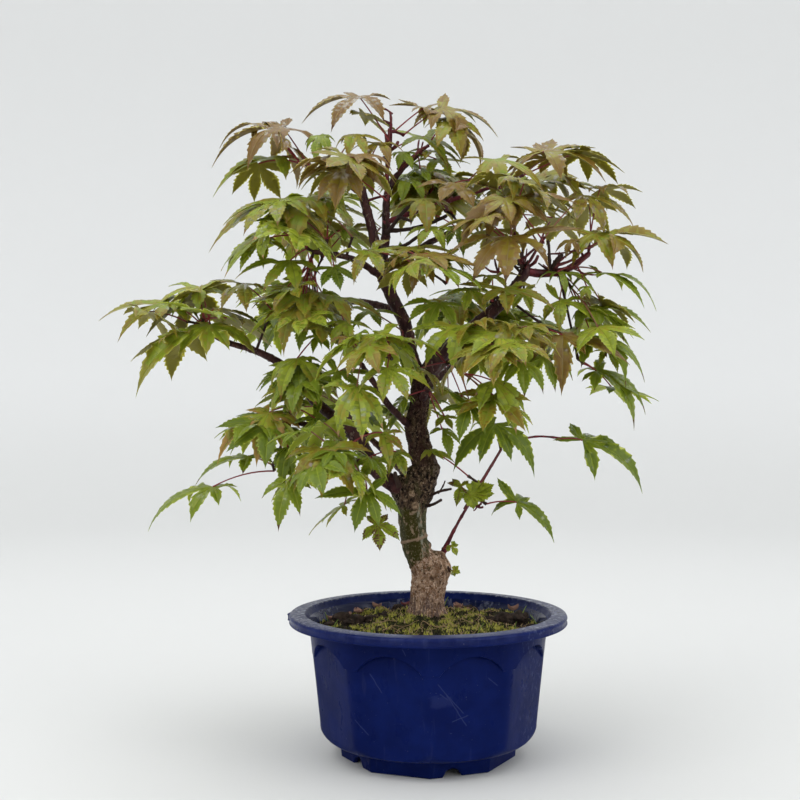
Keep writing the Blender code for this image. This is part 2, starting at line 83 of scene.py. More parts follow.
def plain_material(name, colour, roughness, coat=0.0, sheen_level=0.2):
    material = bpy.data.materials.new(name)
    material.use_nodes = True
    shader = material.node_tree.nodes["Principled BSDF"]
    shader.inputs["Base Color"].default_value = (*colour, 1.0)
    shader.inputs["Roughness"].default_value = roughness
    shader.inputs["Specular IOR Level"].default_value = sheen_level
    shader.inputs["Coat Weight"].default_value = coat
    shader.inputs["Coat Roughness"].default_value = 0.18
    material.diffuse_color = (*colour, 1.0)
    return material


def add_node(tree, kind, inputs=None, **settings):
    """Adds a shader node. An input is a value, or a socket to link it to."""
    made = tree.nodes.new(kind)
    for name, value in settings.items():
        setattr(made, name, value)
    for name, value in (inputs or {}).items():
        if isinstance(value, bpy.types.NodeSocket):
            tree.links.new(value, made.inputs[name])
        else:
            made.inputs[name].default_value = value
    return made


def mix_colour(tree, factor, first, second):
    """Factor, first and second are each a value or a socket."""
    first, second = (value if isinstance(value, bpy.types.NodeSocket) else (*value, 1.0)
                     for value in (first, second))
    return add_node(tree, "ShaderNodeMix", {0: factor, 6: first, 7: second},
                    data_type="RGBA").outputs[2]


def make_stage():
    profile = [(0.0, 0.0), (FLOOR_RADIUS, 0.0)]
    sweep = WALL_RADIUS - FLOOR_RADIUS
    for step in range(1, SWEEP_STEPS + 1):
        angle = math.pi / 2 * step / SWEEP_STEPS
        profile.append((FLOOR_RADIUS + sweep * math.sin(angle), sweep * (1 - math.cos(angle))))
    profile.append((WALL_RADIUS, WALL_TOP))
    mesh = bpy.data.meshes.new("floor")
    points = [(POT_AXIS[0] + across, POT_AXIS[1], up) for across, up in profile]
    mesh.from_pydata(points, [(i, i + 1) for i in range(len(points) - 1)], [])
    floor = new_object("floor", mesh)
    turn = floor.modifiers.new("turn", "SCREW")
    turn.steps = turn.render_steps = TURN_STEPS
    turn.use_smooth_shade = True
    axis = new_object("floor_axis", None)
    axis.location = POT_AXIS
    turn.object = axis
    paint = plain_material("pale_floor", FLOOR_COLOUR, 0.9)
    tree = paint.node_tree
    where = add_node(tree, "ShaderNodeTexCoord").outputs["Object"]
    height = add_node(tree, "ShaderNodeSeparateXYZ", {"Vector": where})
    rise = add_node(tree, "ShaderNodeMapRange", {"Value": height.outputs["Z"],
                    "From Max": BLEND_HEIGHT}, interpolation_type="SMOOTHSTEP")
    blend = mix_colour(tree, rise.outputs["Result"], FLOOR_COLOUR, WALL_COLOUR)
    tree.links.new(blend, tree.nodes["Principled BSDF"].inputs["Base Color"])
    mesh.materials.append(paint)


def soft_light(name, where, size, watts):
    lamp = bpy.data.lights.new(name, "AREA")
    lamp.size = size
    lamp.energy = watts
    light = new_object(name, lamp)
    light.location = where
    light.rotation_euler = (Vector(LAMP_AIM) - Vector(where)).to_track_quat("-Z", "Y").to_euler()


make_stage()
soft_light("light_above", (-0.1, 0.0, 1.7), 1.4, 7)
soft_light("light_left", (-1.1, -0.9, 1.2), 1.2, 9)
soft_light("light_right", (1.2, -0.8, 0.9), 1.2, 7)

sky = bpy.data.worlds.new("sky")
sky.use_nodes = True
sky.node_tree.nodes["Background"].inputs["Color"].default_value = (0.93, 0.96, 1.0, 1.0)
sky.node_tree.nodes["Background"].inputs["Strength"].default_value = 1.24
bpy.context.scene.world = sky
bpy.context.scene.view_settings.view_transform = "Standard"

lens = bpy.data.cameras.new("camera")
lens.lens = LENS
lens.sensor_width = SENSOR
camera = new_object("camera", lens)
camera.location = place((EYE_LEFT, -EYE_DISTANCE, EYE_HEIGHT))
camera.rotation_euler = (math.pi / 2, 0.0, 0.0)
bpy.context.scene.camera = camera


# ---- Pot -------------------------------------------------------------------------------------
# An injection-moulded pot of blue polypropylene: a turned-over rim, nine arch-topped flats
# sunk into the wall, and a notched foot ring. It is scuffed and dusty from use.
RIM_RADIUS, RIM_TOP, RIM_MOUTH = 73.8, 75.4, 65.4
LIP_DROP, LIP_THICKNESS, FLANGE = 4.9, 1.9, 2.2
BODY_TOP_RADIUS, BODY_TOP = 63.4, 72.0
BODY_LOW_RADIUS, BODY_LOW = 57.9, 18.0
CORNER = 8.5                      # rounding of the body's bottom edge
FLOOR_UNDER, FLOOR_UPPER = 9.0, 11.4
PANELS, PANEL_HALF = 9, 17.2
PANEL_PEAK, PANEL_SPRING, PANEL_FOOT = 63.5, 54.5, 12.5
PANEL_LEDGE = 0.5                 # height of the ledge over a flat's arched top
PANEL_SOFTNESS = 0.4              # how softly a flat's sides meet the wall
PANEL_SINK = 0.4                  # how far a flat lies behind the chord of the wall
PANEL_HOLLOW = 0.55               # how much deeper it is just under the ledge
DISC_RADIUS = 40.0                # the flat disc in the middle of the floor
FOOT_RADIUS, FOOT_BORE = 46.5, 41.0
NOTCH_HALF, NOTCH_HEIGHT = 5.0, 4.1
NOTCH_ANGLES = (15, -57, -129, 87, 159)    # degrees from the front, to the right
DRAIN_RADIUS, DRAIN_CIRCLE, DRAIN_COUNT = 4.0, 26.0, 5
POT_COLUMNS = 40 * PANELS
DISC_SIDES, DRAIN_SIDES = 96, 32
WET_ROWS = 8                      # rows of the wall, from the floor up, that are wet
RIM_ROW = 20                      # a row on the rim's outer edge


def smooth_step(value):
    value = np.clip(value, 0.0, 1.0)
    return value * value * (3 - 2 * value)


def body_radius(height):
    share = (height - BODY_LOW) / (BODY_TOP - BODY_LOW)
    return BODY_LOW_RADIUS + (BODY_TOP_RADIUS - BODY_LOW_RADIUS) * share


def corner_radius(height):
    """The outside of the body, with its rounded bottom corner."""
    rise = np.maximum(0.0, FLOOR_UNDER + CORNER - height)
    wall = body_radius(np.maximum(height, BODY_LOW))
    return wall - CORNER + np.sqrt(np.maximum(0.0, CORNER ** 2 - rise ** 2))


def panel_turn(angles):
    """Each angle's turn from the middle of its own flat."""
    return (angles - math.radians(270)) % (math.tau / PANELS) - math.pi / PANELS


def arch_top(angles):
    """The height of the flats' arched tops, level between one flat and the next."""
    across = body_radius(PANEL_PEAK) * np.sin(panel_turn(angles))
    rise = PANEL_PEAK - PANEL_SPRING
    arch = (PANEL_HALF ** 2 + rise ** 2) / (2 * rise)
    return PANEL_PEAK - arch + np.sqrt(arch ** 2 - np.minimum(across ** 2, PANEL_HALF ** 2))


def panelled_radius(height, angles):
    """The outside of the body all round at its heights, with the flats sunk in."""
    plain = corner_radius(height)
    chord = np.sqrt(body_radius(height) ** 2 - PANEL_HALF ** 2) - PANEL_SINK
    depth = plain - chord / np.cos(panel_turn(angles))
    below = np.maximum(0.0, arch_top(angles) - height)
    depth = depth * np.where(depth > 0, 1 + PANEL_HOLLOW * np.exp(-below / 2.4), 1.0)
    within = smooth_step(below / PANEL_LEDGE)
    within = within * smooth_step((height - PANEL_FOOT + 3) / 3)
    return plain - (depth + np.sqrt(depth ** 2 + PANEL_SOFTNESS ** 2)) / 2 * within


def quads_between(rows, columns, closed_rows=False):
    """Quads over a grid whose columns run round, row after row."""
    faces = []
    for row in range(rows if closed_rows else rows - 1):
        upper = (row + 1) % rows
        for column in range(columns):
            beside = (column + 1) % columns
            faces.append((row * columns + column, row * columns + beside,
                          upper * columns + beside, upper * columns + column))
    return faces


def pot_rows(angles):
    """Each row is a radius (all round) and a height, from the inside of the floor to below it."""
    rows = [
        (DISC_RADIUS, FLOOR_UPPER), (46.0, FLOOR_UPPER), (50.5, 15.0), (52.4, 21), (55.4, 45),
        (56.8, 61.5), (61.0, 66.5), (61.7, 70.0), (63.3, 72.0), (64.7, 73.6),
        (65.2, RIM_TOP - 0.4), (RIM_MOUTH + 0.2, RIM_TOP), (68.0, RIM_TOP), (69.8, RIM_TOP),
        (71.4, RIM_TOP - 0.1)]
    for step in range(7):
        turn = math.radians(90 - 15 * step)
        rows.append((RIM_RADIUS - 1.6 + 1.6 * math.cos(turn), RIM_TOP - 1.8 + 1.6 * math.sin(turn)))
    inside_lip = RIM_RADIUS - LIP_THICKNESS
    rows += [
        (RIM_RADIUS - 0.35, RIM_TOP - 2.35), (RIM_RADIUS - 0.35, RIM_TOP - 4.3),
        (RIM_RADIUS, RIM_TOP - 4.6), (RIM_RADIUS - 0.3, RIM_TOP - LIP_DROP),
        (inside_lip, RIM_TOP - LIP_DROP), (inside_lip - 0.2, RIM_TOP - FLANGE - 0.6),
        (65.2, RIM_TOP - FLANGE), (body_radius(BODY_TOP) + 0.5, BODY_TOP + 0.6)]
    rows = [(np.full(POT_COLUMNS, radius), np.full(POT_COLUMNS, height)) for radius, height in rows]
    level = np.ones(POT_COLUMNS)
    heights = [height * level for height in np.linspace(BODY_TOP, 64.6, 5)]
    for below in (-0.5, -0.15, 0.0, 0.12, 0.25, 0.38, 0.5, 0.65, 1.0, 1.6, 2.6):
        heights.append(arch_top(angles) - below)
    heights += [height * level for height in np.linspace(50.0, 21.0, 9)]
    heights += [height * level for height in np.linspace(18.5, FLOOR_UNDER, 12)]
    rows += [(panelled_radius(height, angles), height) for height in heights]
    rows.append((DISC_RADIUS * level, FLOOR_UNDER * level))
    return rows


def ring_points(radius, angles, height):
    return np.stack([radius * np.cos(angles), radius * np.sin(angles), height], 1)


def make_pot_body():
    angles = np.arange(POT_COLUMNS) * math.tau / POT_COLUMNS
    points = []
    rows = pot_rows(angles)
    for radius, height in rows:
        # the rim has warped a little with age, and so has the wall under it
        warp = 0.35 * smooth_step((height - 30) / 40) * np.sin(2 * angles + 0.6)
        # the mould left a nub on the left of the lip and a nick on its right
        on_lip = np.where(radius > RIM_RADIUS - 1.0, smooth_step((RIM_TOP - height) / 1.5), 0.0)
        nub = 1.3 * np.exp(-((angles - math.pi) * RIM_RADIUS / 1.3) ** 2)
        nick = 0.7 * np.exp(-((angles - math.tau + 0.02) * RIM_RADIUS / 1.0) ** 2)
        points.append(ring_points(radius + warp + on_lip * (nub - nick), angles, height))
    return np.concatenate(points), quads_between(len(rows), POT_COLUMNS, closed_rows=True)


def make_foot_ring():
    """The nine-sided ring that the pot stands on, with its half-round notches."""
    angles = np.arange(POT_COLUMNS) * math.tau / POT_COLUMNS
    outer = FOOT_RADIUS * math.cos(math.pi / PANELS) / np.cos(panel_turn(angles))
    under = np.zeros(POT_COLUMNS)
    for notch in NOTCH_ANGLES:
        off = (angles - math.radians(270 + notch) + math.pi) % math.tau - math.pi
        across = off * FOOT_RADIUS / NOTCH_HALF
        under = np.maximum(under, NOTCH_HEIGHT * np.sqrt(np.clip(1 - across ** 2, 0, 1)))
    top = np.full(POT_COLUMNS, FLOOR_UNDER + 0.3)
    rows = [(FOOT_BORE + 0 * outer, top), (outer + 1.0, top), (outer, under + 0.5),
            (outer - 0.6, under), (FOOT_BORE + 0.6 + 0 * outer, under),
            (FOOT_BORE + 0 * outer, under + 0.5)]
    points = [ring_points(radius, angles, height) for radius, height in rows]
    return np.concatenate(points), quads_between(len(rows), POT_COLUMNS, closed_rows=True)


def join_parts(parts):
    """Joins (points, faces) parts into one list of points and one of faces."""
    points, faces, start = [], [], 0
    for part_points, part_faces in parts:
        points.append(np.asarray(part_points, float))
        faces += [tuple(index + start for index in face) for face in part_faces]
        start += len(part_points)
    return np.concatenate(points), faces


def make_mesh(name, points, faces, materials, tints=None, sharp=math.radians(40)):
    """A smooth-shaded piece from millimetre points, with a material number for each face."""
    mesh = bpy.data.meshes.new(name)
    mesh.from_pydata(place(points).tolist(), [], faces)
    for material in materials:
        mesh.materials.append(material)
    if tints is not None:
        mesh.polygons.foreach_set("material_index", np.asarray(tints, np.int32))
    mesh.shade_smooth()
    mesh.set_sharp_from_angle(angle=sharp)
    mesh.validate()
    return new_object(name, mesh)


def turn_outward(piece):
    """Makes every closed part of a mesh face outward."""
    bm = bmesh.new()
    bm.from_mesh(piece.data)
    bmesh.ops.recalc_face_normals(bm, faces=bm.faces)
    bm.to_mesh(piece.data)
    bm.free()
    return piece


def make_mask_group(name, inputs):
    """A node group with named inputs and one mask to give out, still to be filled."""
    group = bpy.data.node_groups.new(name, "ShaderNodeTree")
    for label, value in inputs.items():
        kind = "NodeSocketFloat" if isinstance(value, float) else "NodeSocketVector"
        socket = group.interface.new_socket(label, in_out="INPUT", socket_type=kind)
        socket.default_value = value
    group.interface.new_socket("Mask", in_out="OUTPUT", socket_type="NodeSocketFloat")
    given = add_node(group, "NodeGroupInput").outputs
    return group, given, add_node(group, "ShaderNodeTexCoord").outputs["Object"]


def give_mask(group, value, low, high):
    """Ends a mask group: 0 below the low level, 1 above the high one."""
    level = add_node(group, "ShaderNodeMapRange", {"Value": value, "From Min": low,
                     "From Max": high}, interpolation_type="SMOOTHSTEP")
    add_node(group, "NodeGroupOutput", {"Mask": level.outputs["Result"]})
    return group


def make_patch_group():
    """A mask of uneven patches, stretched along any axis, between two levels."""
    group, given, where = make_mask_group("patches", {
        "Stretch": (1, 1, 1), "Scale": 100.0, "Detail": 4.0, "From": 0.4, "To": 0.6})
    stretched = add_node(group, "ShaderNodeVectorMath", {0: where, 1: given["Stretch"]},
                         operation="MULTIPLY")
    grain = add_node(group, "ShaderNodeTexNoise", {"Vector": stretched.outputs[0],
                     "Scale": given["Scale"], "Detail": given["Detail"], "Roughness": 0.62})
    return give_mask(group, grain.outputs["Fac"], given["From"], given["To"])


def make_zone_group():
    """A mask that rises from 0 to 1 between two planes, with a ragged edge."""
    group, given, where = make_mask_group("zone", {
        "Direction": (0, 0, 1), "Low": 0.1, "High": 0.12, "Ragged": 0.0})
    along = add_node(group, "ShaderNodeVectorMath", {0: where, 1: given["Direction"]},
                     operation="DOT_PRODUCT")
    grain = add_node(group, "ShaderNodeTexNoise", {"Vector": where, "Scale": 260.0, "Detail": 3.0})
    centred = add_node(group, "ShaderNodeMath", {0: grain.outputs["Fac"], 1: 0.5},
                       operation="SUBTRACT")
    ragged = add_node(group, "ShaderNodeMath", {0: centred.outputs[0], 1: given["Ragged"],
                      2: along.outputs["Value"]}, operation="MULTIPLY_ADD")
    return give_mask(group, ragged.outputs[0], given["Low"], given["High"])


patch_group = make_patch_group()
zone_group = make_zone_group()


def patches(tree, scale, low, high, stretch=(1, 1, 1), detail=4.0):
    return add_node(tree, "ShaderNodeGroup", {"Scale": scale, "From": low, "To": high,
                    "Stretch": stretch, "Detail": detail}, node_tree=patch_group).outputs["Mask"]


def zone(tree, low, high, ragged=0.0, direction=(0, 0, 1)):
    """Low and high are millimetres along a direction, from the foot of the pot's axis."""
    offset = float(np.dot(POT_AXIS, direction))
    return add_node(tree, "ShaderNodeGroup", {"Direction": direction,
                    "Low": low * MILLIMETRE + offset, "High": high * MILLIMETRE + offset,
                    "Ragged": ragged * MILLIMETRE}, node_tree=zone_group).outputs["Mask"]


def opposite(tree, mask):
    return add_node(tree, "ShaderNodeMath", {0: 1.0, 1: mask}, operation="SUBTRACT").outputs[0]


def times(tree, first, second):
    return add_node(tree, "ShaderNodeMath", {0: first, 1: second}, operation="MULTIPLY").outputs[0]


def band(tree, rise, fall, ragged, direction=(0, 0, 1)):
    """A mask that rises over one stretch of a direction and falls over another."""
    return times(tree, zone(tree, *rise, ragged, direction),
                 opposite(tree, zone(tree, *fall, ragged, direction)))


def stain(tree, under, mask, amount, colour):
    """Lays an amount of a colour over the surface, where a mask lets it."""
    return mix_colour(tree, times(tree, mask, amount), under, colour)


def spread(tree, value, low, high):
    """Maps 0..1 to low..high."""
    return add_node(tree, "ShaderNodeMapRange", {"Value": value, "To Min": low,
                    "To Max": high}).outputs["Result"]


def add_relief(tree, height, strength, distance):
    shader = tree.nodes["Principled BSDF"]
    bump = add_node(tree, "ShaderNodeBump", {"Height": height, "Strength": strength,
                    "Distance": distance * MILLIMETRE})
    tree.links.new(bump.outputs["Normal"], shader.inputs["Normal"])


def finish_surface(material, colour, roughness):
    tree = material.node_tree
    shader = tree.nodes["Principled BSDF"]
    tree.links.new(colour, shader.inputs["Base Color"])
    tree.links.new(roughness, shader.inputs["Roughness"])


# scratches rubbed into the wall, each between two (x, z) points
SCRATCHES = (((2.9, 51), (16.5, 34.5)), ((7.7, 45), (17.9, 28)), ((4, 46), (9, 42)),
             ((28, 52), (33.5, 47)), ((-30, 54), (-23.5, 44)), ((10, 31), (19, 34)),
             ((9, 25.6), (11, 25.3)), ((-14, 68), (-12, 64)), ((-38, 30), (-30, 22)))


def scratch(tree, start, end):
    """A thin line between two (x, z) points."""
    along = (end - start) / np.linalg.norm(end - start)
    across = (-along[1], along[0])
    off, low, high = (float(np.dot(way, point)) for way, point in (
        (across, start), (along, start), (along, end)))
    line = band(tree, (off - 0.35, off - 0.15), (off + 0.15, off + 0.35), 0.8,
                (across[0], 0, across[1]))
    ends = band(tree, (low, low + 1), (high - 1, high), 2, (along[0], 0, along[1]))
    return times(tree, line, ends)


def make_blue_plastic(name, coat, sheen_level):
    material = plain_material(name, (0.006, 0.012, 0.07), 0.34, coat, sheen_level)
    tree = material.node_tree
    cloud = patches(tree, 38, 0.35, 0.7)
    blue = mix_colour(tree, cloud, (0.0026, 0.0072, 0.060), (0.0040, 0.0108, 0.084))
    # chalky scuffs gather on top of the rim, and rubbed streaks run down the wall
    top = times(tree, zone(tree, 74.6, 75.3, 0.8), zone(tree, -62, -46, 12, (0, 1, 0)))
    blue = stain(tree, blue, top, 0.5, (0.050, 0.056, 0.095))
    # painted highlight: the front edge of the rim's top is painted paler, as light glinting along it
    painted_rim_highlight = times(tree, zone(tree, 74.9, 75.3, 0.4), zone(tree, 50, 62, 8, (0, -1, 0)))
    blue = stain(tree, blue, painted_rim_highlight, 0.35, (0.110, 0.125, 0.200))
    scuffs = times(tree, top, patches(tree, 420, 0.46, 0.66, (1, 1, 0.6), 6.0))
    blue = mix_colour(tree, scuffs, blue, (0.26, 0.27, 0.33))
    lip = times(tree, zone(tree, 71.0, 73.5, 1.0), patches(tree, 130, 0.44, 0.66, (1, 1, 0.3)))
    blue = stain(tree, blue, lip, 0.6, (0.018, 0.026, 0.105))
    streaks = patches(tree, 300, 0.60, 0.72, (1, 1, 0.08), 3.0)
    blue = stain(tree, blue, streaks, 0.10, (0.06, 0.07, 0.16))
    for start, end in SCRATCHES:
        line = scratch(tree, np.array(start, float), np.array(end, float))
        blue = stain(tree, blue, line, 0.6, (0.030, 0.040, 0.120))
    rubbed = times(tree, band(tree, (38, 40), (44, 45), 4),
                   band(tree, (-2, 1), (9, 12), 6, (1, 0, 0)))
    blue = stain(tree, blue, rubbed, 0.5, (0.018, 0.026, 0.105))
    dust = patches(tree, 700, 0.71, 0.76, (1, 1, 1), 2.0)
    blue = stain(tree, blue, dust, 0.4, (0.11, 0.12, 0.18))
    limescale = times(tree, zone(tree, 44, 50, 12, (1, 0, 0)),
                      patches(tree, 520, 0.56, 0.62, (1, 1, 0.6)))
    blue = stain(tree, blue, limescale, 0.5, (0.060, 0.075, 0.170))
    rough = spread(tree, patches(tree, 120, 0.3, 0.7, (1, 1, 0.5)), 0.25, 0.42)
    finish_surface(material, blue, rough)
    add_relief(tree, patches(tree, 700, 0.2, 0.8), 0.10, 0.3)
    return material


def make_wet_plastic():
    """The inside of the wall, still wet from watering: blue under beads and runs of water, which are
    glossier and raised, and are painted paler as painted reflections.
    """
    material = plain_material("wet_plastic", (0.006, 0.012, 0.07), 0.2, sheen_level=0.22)
    tree = material.node_tree
    beads_and_glints = times(tree, patches(tree, 330, 0.50, 0.62, (1, 1, 0.5), 3.0),
                  patches(tree, 60, 0.48, 0.56))
    # painted reflection: where the beads stand, the blue is painted a pale grey-blue
    blue = mix_colour(tree, beads_and_glints, (0.0040, 0.0080, 0.050), (0.060, 0.068, 0.130))
    finish_surface(material, blue, spread(tree, beads_and_glints, 0.10, 0.35))
    add_relief(tree, beads_and_glints, 0.6, 0.5)
    return material


def make_pot():
    points, faces = join_parts([make_pot_body(), make_foot_ring()])
    # the outside of the wall starts at the first point below the body's top, past the rim
    rim_start = RIM_ROW * POT_COLUMNS
    rim_end = next(number for number, point in enumerate(points)
                   if number > rim_start and point[2] < BODY_TOP + 0.1)
    tints = [1 if face[0] < WET_ROWS * POT_COLUMNS else 2 if face[0] < rim_end else 0
             for face in faces]
    materials = [make_blue_plastic("blue_plastic", 0.0, 0.03), make_wet_plastic(),
                 make_blue_plastic("glossy_rim", 0.14, 0.03)]
    pot = turn_outward(make_mesh("pot_moulding", points, faces, materials, tints))
    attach(pot, "root")
    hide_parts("pot")
    make_pot_floor()


def round_axis(radius, turn, middle=(0, 0)):
    """The x and y of a place on a circle."""
    return middle[0] + radius * math.cos(turn), middle[1] + radius * math.sin(turn)


def circle_spline(shape, middle, radius, count):
    spline = shape.splines.new("POLY")
    spline.points.add(count - 1)
    for number, point in enumerate(spline.points):
        x, y = round_axis(radius, math.tau * number / count, middle)
        point.co = (x * MILLIMETRE, y * MILLIMETRE, 0, 1)
    spline.use_cyclic_u = True


def make_pot_floor():
    """The disc in the middle of the floor, with its drain holes."""
    shape = bpy.data.curves.new("pot_floor", "CURVE")
    shape.dimensions = "2D"
    shape.fill_mode = "BOTH"
    shape.extrude = (FLOOR_UPPER - FLOOR_UNDER) / 2 * MILLIMETRE
    circle_spline(shape, (0, 0), DISC_RADIUS + 0.2, DISC_SIDES)
    for number in range(DRAIN_COUNT):
        middle = round_axis(DRAIN_CIRCLE, math.tau * number / DRAIN_COUNT)
        circle_spline(shape, middle, DRAIN_RADIUS, DRAIN_SIDES)
    shape.materials.append(bpy.data.materials["blue_plastic"])
    disc = new_object("pot_floor", shape)
    disc.location = place((0, 0, (FLOOR_UPPER + FLOOR_UNDER) / 2))
    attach(disc, "root")


make_pot()


# ---- Trunk -----------------------------------------------------------------------------------
# A stem pruned hard for years: pale fissured bark and a burr low down, smooth green bark above
# with the scar of an old wire, then a knob of healed cuts and dark, flaking bark to the fork.
SOIL_TOP, SOIL_EDGE, SOIL_FLAT = 73.0, 67.5, 15.0
TRUNK_SIDES, TRUNK_STEP = 88, 0.55

# x, y, z and thickness from the soil up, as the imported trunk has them
TRUNK_ROUTE = (
    (-0.8, 5, 73, 21), (-0.6, 5, 78, 18.5), (-0.2, 5, 84, 18),
    (0.6, 5, 92, 19), (0.8, 5, 98, 19.6), (-1.8, 4.5, 103, 18),
    (-6, 4, 109, 14.8), (-7.8, 3.5, 116, 14.4), (-8.5, 3.2, 123, 14.8),
    (-8.3, 3, 130, 16), (-6.8, 3.5, 141, 20.5),
    (-1.8, 4, 152, 14.2), (-4.2, 4, 163, 12.4), (-6.4, 3.5, 174, 11.6),
    (-4.6, 3, 187, 9.8), (-3.2, 3, 198, 11.6), (-2.8, 3, 206, 12.6))

# swellings on the trunk: middle (x, y, z), how far each one spreads, how far it stands out
TRUNK_SWELLINGS = (
    ((10.5, 2, 99), 5, 2.4), ((10, 0, 92), 5, 0.7), ((7.6, 2, 106.4), 2.6, 2.6),
    ((2.2, 2, 110.5), 2.6, -1.2), ((-9, -2, 101), 3, 0.7),
    ((-16, 2, 144), 4.2, 2.8), ((-17.5, 2, 138.5), 4, 2.2), ((5, 0, 151.5), 3.2, 2.4),
    ((4, -2, 146), 3.4, 1.8), ((-12, -3, 147.5), 2.4, 1.3), ((-2, -6, 148), 2.6, 0.9),
    ((-10.5, -2, 171), 3, 0.9), ((1.2, -1.5, 166), 2.6, 0.8), ((-8.5, -3, 186), 3, 1),
    ((2.4, -1, 192), 3.4, 1.1), ((-8.6, 0, 199), 3.2, 1.1), ((-3, -5, 203), 3, 0.8),
    ((5.5, 9, 142), 4, 1.6), ((-10, 9, 106), 5, 1), ((-13, 6, 128), 3, 0.6))


def smooth_route(route, spacing):
    """Catmull-Rom through (x, y, z, thickness) points, one station for each spacing or so."""
    points = [np.array(point, float) for point in route]
    points = [2 * points[0] - points[1], *points, 2 * points[-1] - points[-2]]
    stations = []
    for before, start, end, after in zip(points, points[1:], points[2:], points[3:]):
        steps = max(2, round(np.linalg.norm((end - start)[:3]) / spacing))
        for t in np.arange(steps) / steps:
            stations.append(0.5 * (
                2 * start + (end - before) * t + (2 * before - 5 * start + 4 * end - after) * t ** 2
                + (3 * start - before - 3 * end + after) * t ** 3))
    stations.append(points[-2])
    return np.array(stations)


def unit(vector):
    return vector / max(np.linalg.norm(vector), 1e-9)


def tube_rings(centres, radii, sides, first_side=(0.0, -1.0, 0.0)):
    """Points in rings round a route, with no twist, and each point's direction from it."""
    side = np.array(first_side, float)
    tangents = np.gradient(centres, axis=0)
    angles = np.arange(sides) * math.tau / sides
    points, outward = [], []
    for centre, radius, tangent in zip(centres, radii, tangents):
        tangent = unit(tangent)
        side = unit(side - tangent * (side @ tangent))
        other = np.cross(tangent, side)
        ring = np.outer(np.cos(angles), side) + np.outer(np.sin(angles), other)
        points.append(centre + ring * radius)
        outward.append(ring)
    return np.array(points), np.array(outward)


def capped_tube(rings):
    """Faces between rings of points, closed with a fan at each end."""
    count, sides = rings.shape[:2]
    points = rings.reshape(-1, 3)
    faces = quads_between(count, sides)
    ends = np.array([rings[0].mean(0), rings[-1].mean(0)])
    first, last = len(points), len(points) + 1
    top = (count - 1) * sides
    for side in range(sides):
        beside = (side + 1) % sides
        faces.append((first, beside, side))
        faces.append((last, top + side, top + beside))
    return np.concatenate([points, ends]), faces


def ridged(point, spacing, stretch):
    """Bark fissures: 1 on a ridge, 0 in a crack, drawn out upwards."""
    x, y, z = point
    return 1 - abs(noise.noise(Vector((x / spacing, y / spacing, z / spacing / stretch)))) * 2.2


def lumps(point, spacing):
    return noise.noise(Vector(point) / spacing)


def between(value, low, high):
    return float(smooth_step((value - low) / (high - low)))


def trunk_relief(point):
    """How far the bark stands out at a point on the trunk."""
    x, y, z = point
    base = 1 - between(z - 0.5 * x, 104, 112)
    smooth = between(z, 104, 114) * (1 - between(z, 126, 136))
    rough = between(z, 128, 138)
    knob = rough * (1 - between(z, 150, 158))
    out = 0.55 * lumps(point, 6.0) + 0.25 * lumps(point, 2.4)
    out += base * (0.55 * ridged(point, 2.3, 1.6) - 0.4 + 0.4 * ridged(point, 1.0, 1.3))
    out += smooth * (0.18 * lumps(point, 1.1) - 0.1)
    out += rough * (0.75 * ridged(point, 1.9, 1.8) - 0.6 + 0.45 * ridged(point, 0.9, 1.2))
    out += knob * 0.7 * lumps((x + 40, y, z), 1.8)
    for middle, reach, height in TRUNK_SWELLINGS:
        away = np.linalg.norm(point - np.array(middle)) / reach
        if away < 2.2:
            out += height * math.exp(-away * away * 1.3)
    # the scar of an old wire runs up to the right across the smooth bark
    scar = z - (112.0 + 0.27 * (x + 13.4)) - 0.5 * lumps(point, 4.0)
    out += 0.7 * math.exp(-(scar / 0.75) ** 2) * smooth
    # a notch parts the stem from the shoot on top of the burr
    out -= 4.0 * math.exp(-((z - 109.3) / 1.7) ** 2) * between(x, 1.0, 5.0)
    # the burr is split down its right side
    split = (y + 1.5 + 0.25 * (z - 100)) - 0.6 * lumps(point, 3.0)
    if x > 6:
        out -= 1.3 * math.exp(-(split / 0.5) ** 2) * between(z, 88, 92) * (1 - between(z, 100, 104))
    return out


def root_flare(point, centre):
    """The foot spreads into five ridges where the roots begin."""
    fade = max(0.0, 1 - (point[2] - SOIL_TOP) / 11.0) ** 1.6
    angle = math.atan2(point[1] - centre[1], point[0] - centre[0])
    wave = math.cos(5 * angle + 0.7) + 0.4 * math.cos(9 * angle + 2.0)
    return fade * (0.7 * wave + 0.2)


def bark_pattern(tree, low, high, stretch, scale=420):
    """Light plates and dark cracks, drawn out along the stem."""
    return patches(tree, scale, low, high, (1, 1, stretch), 6.0)


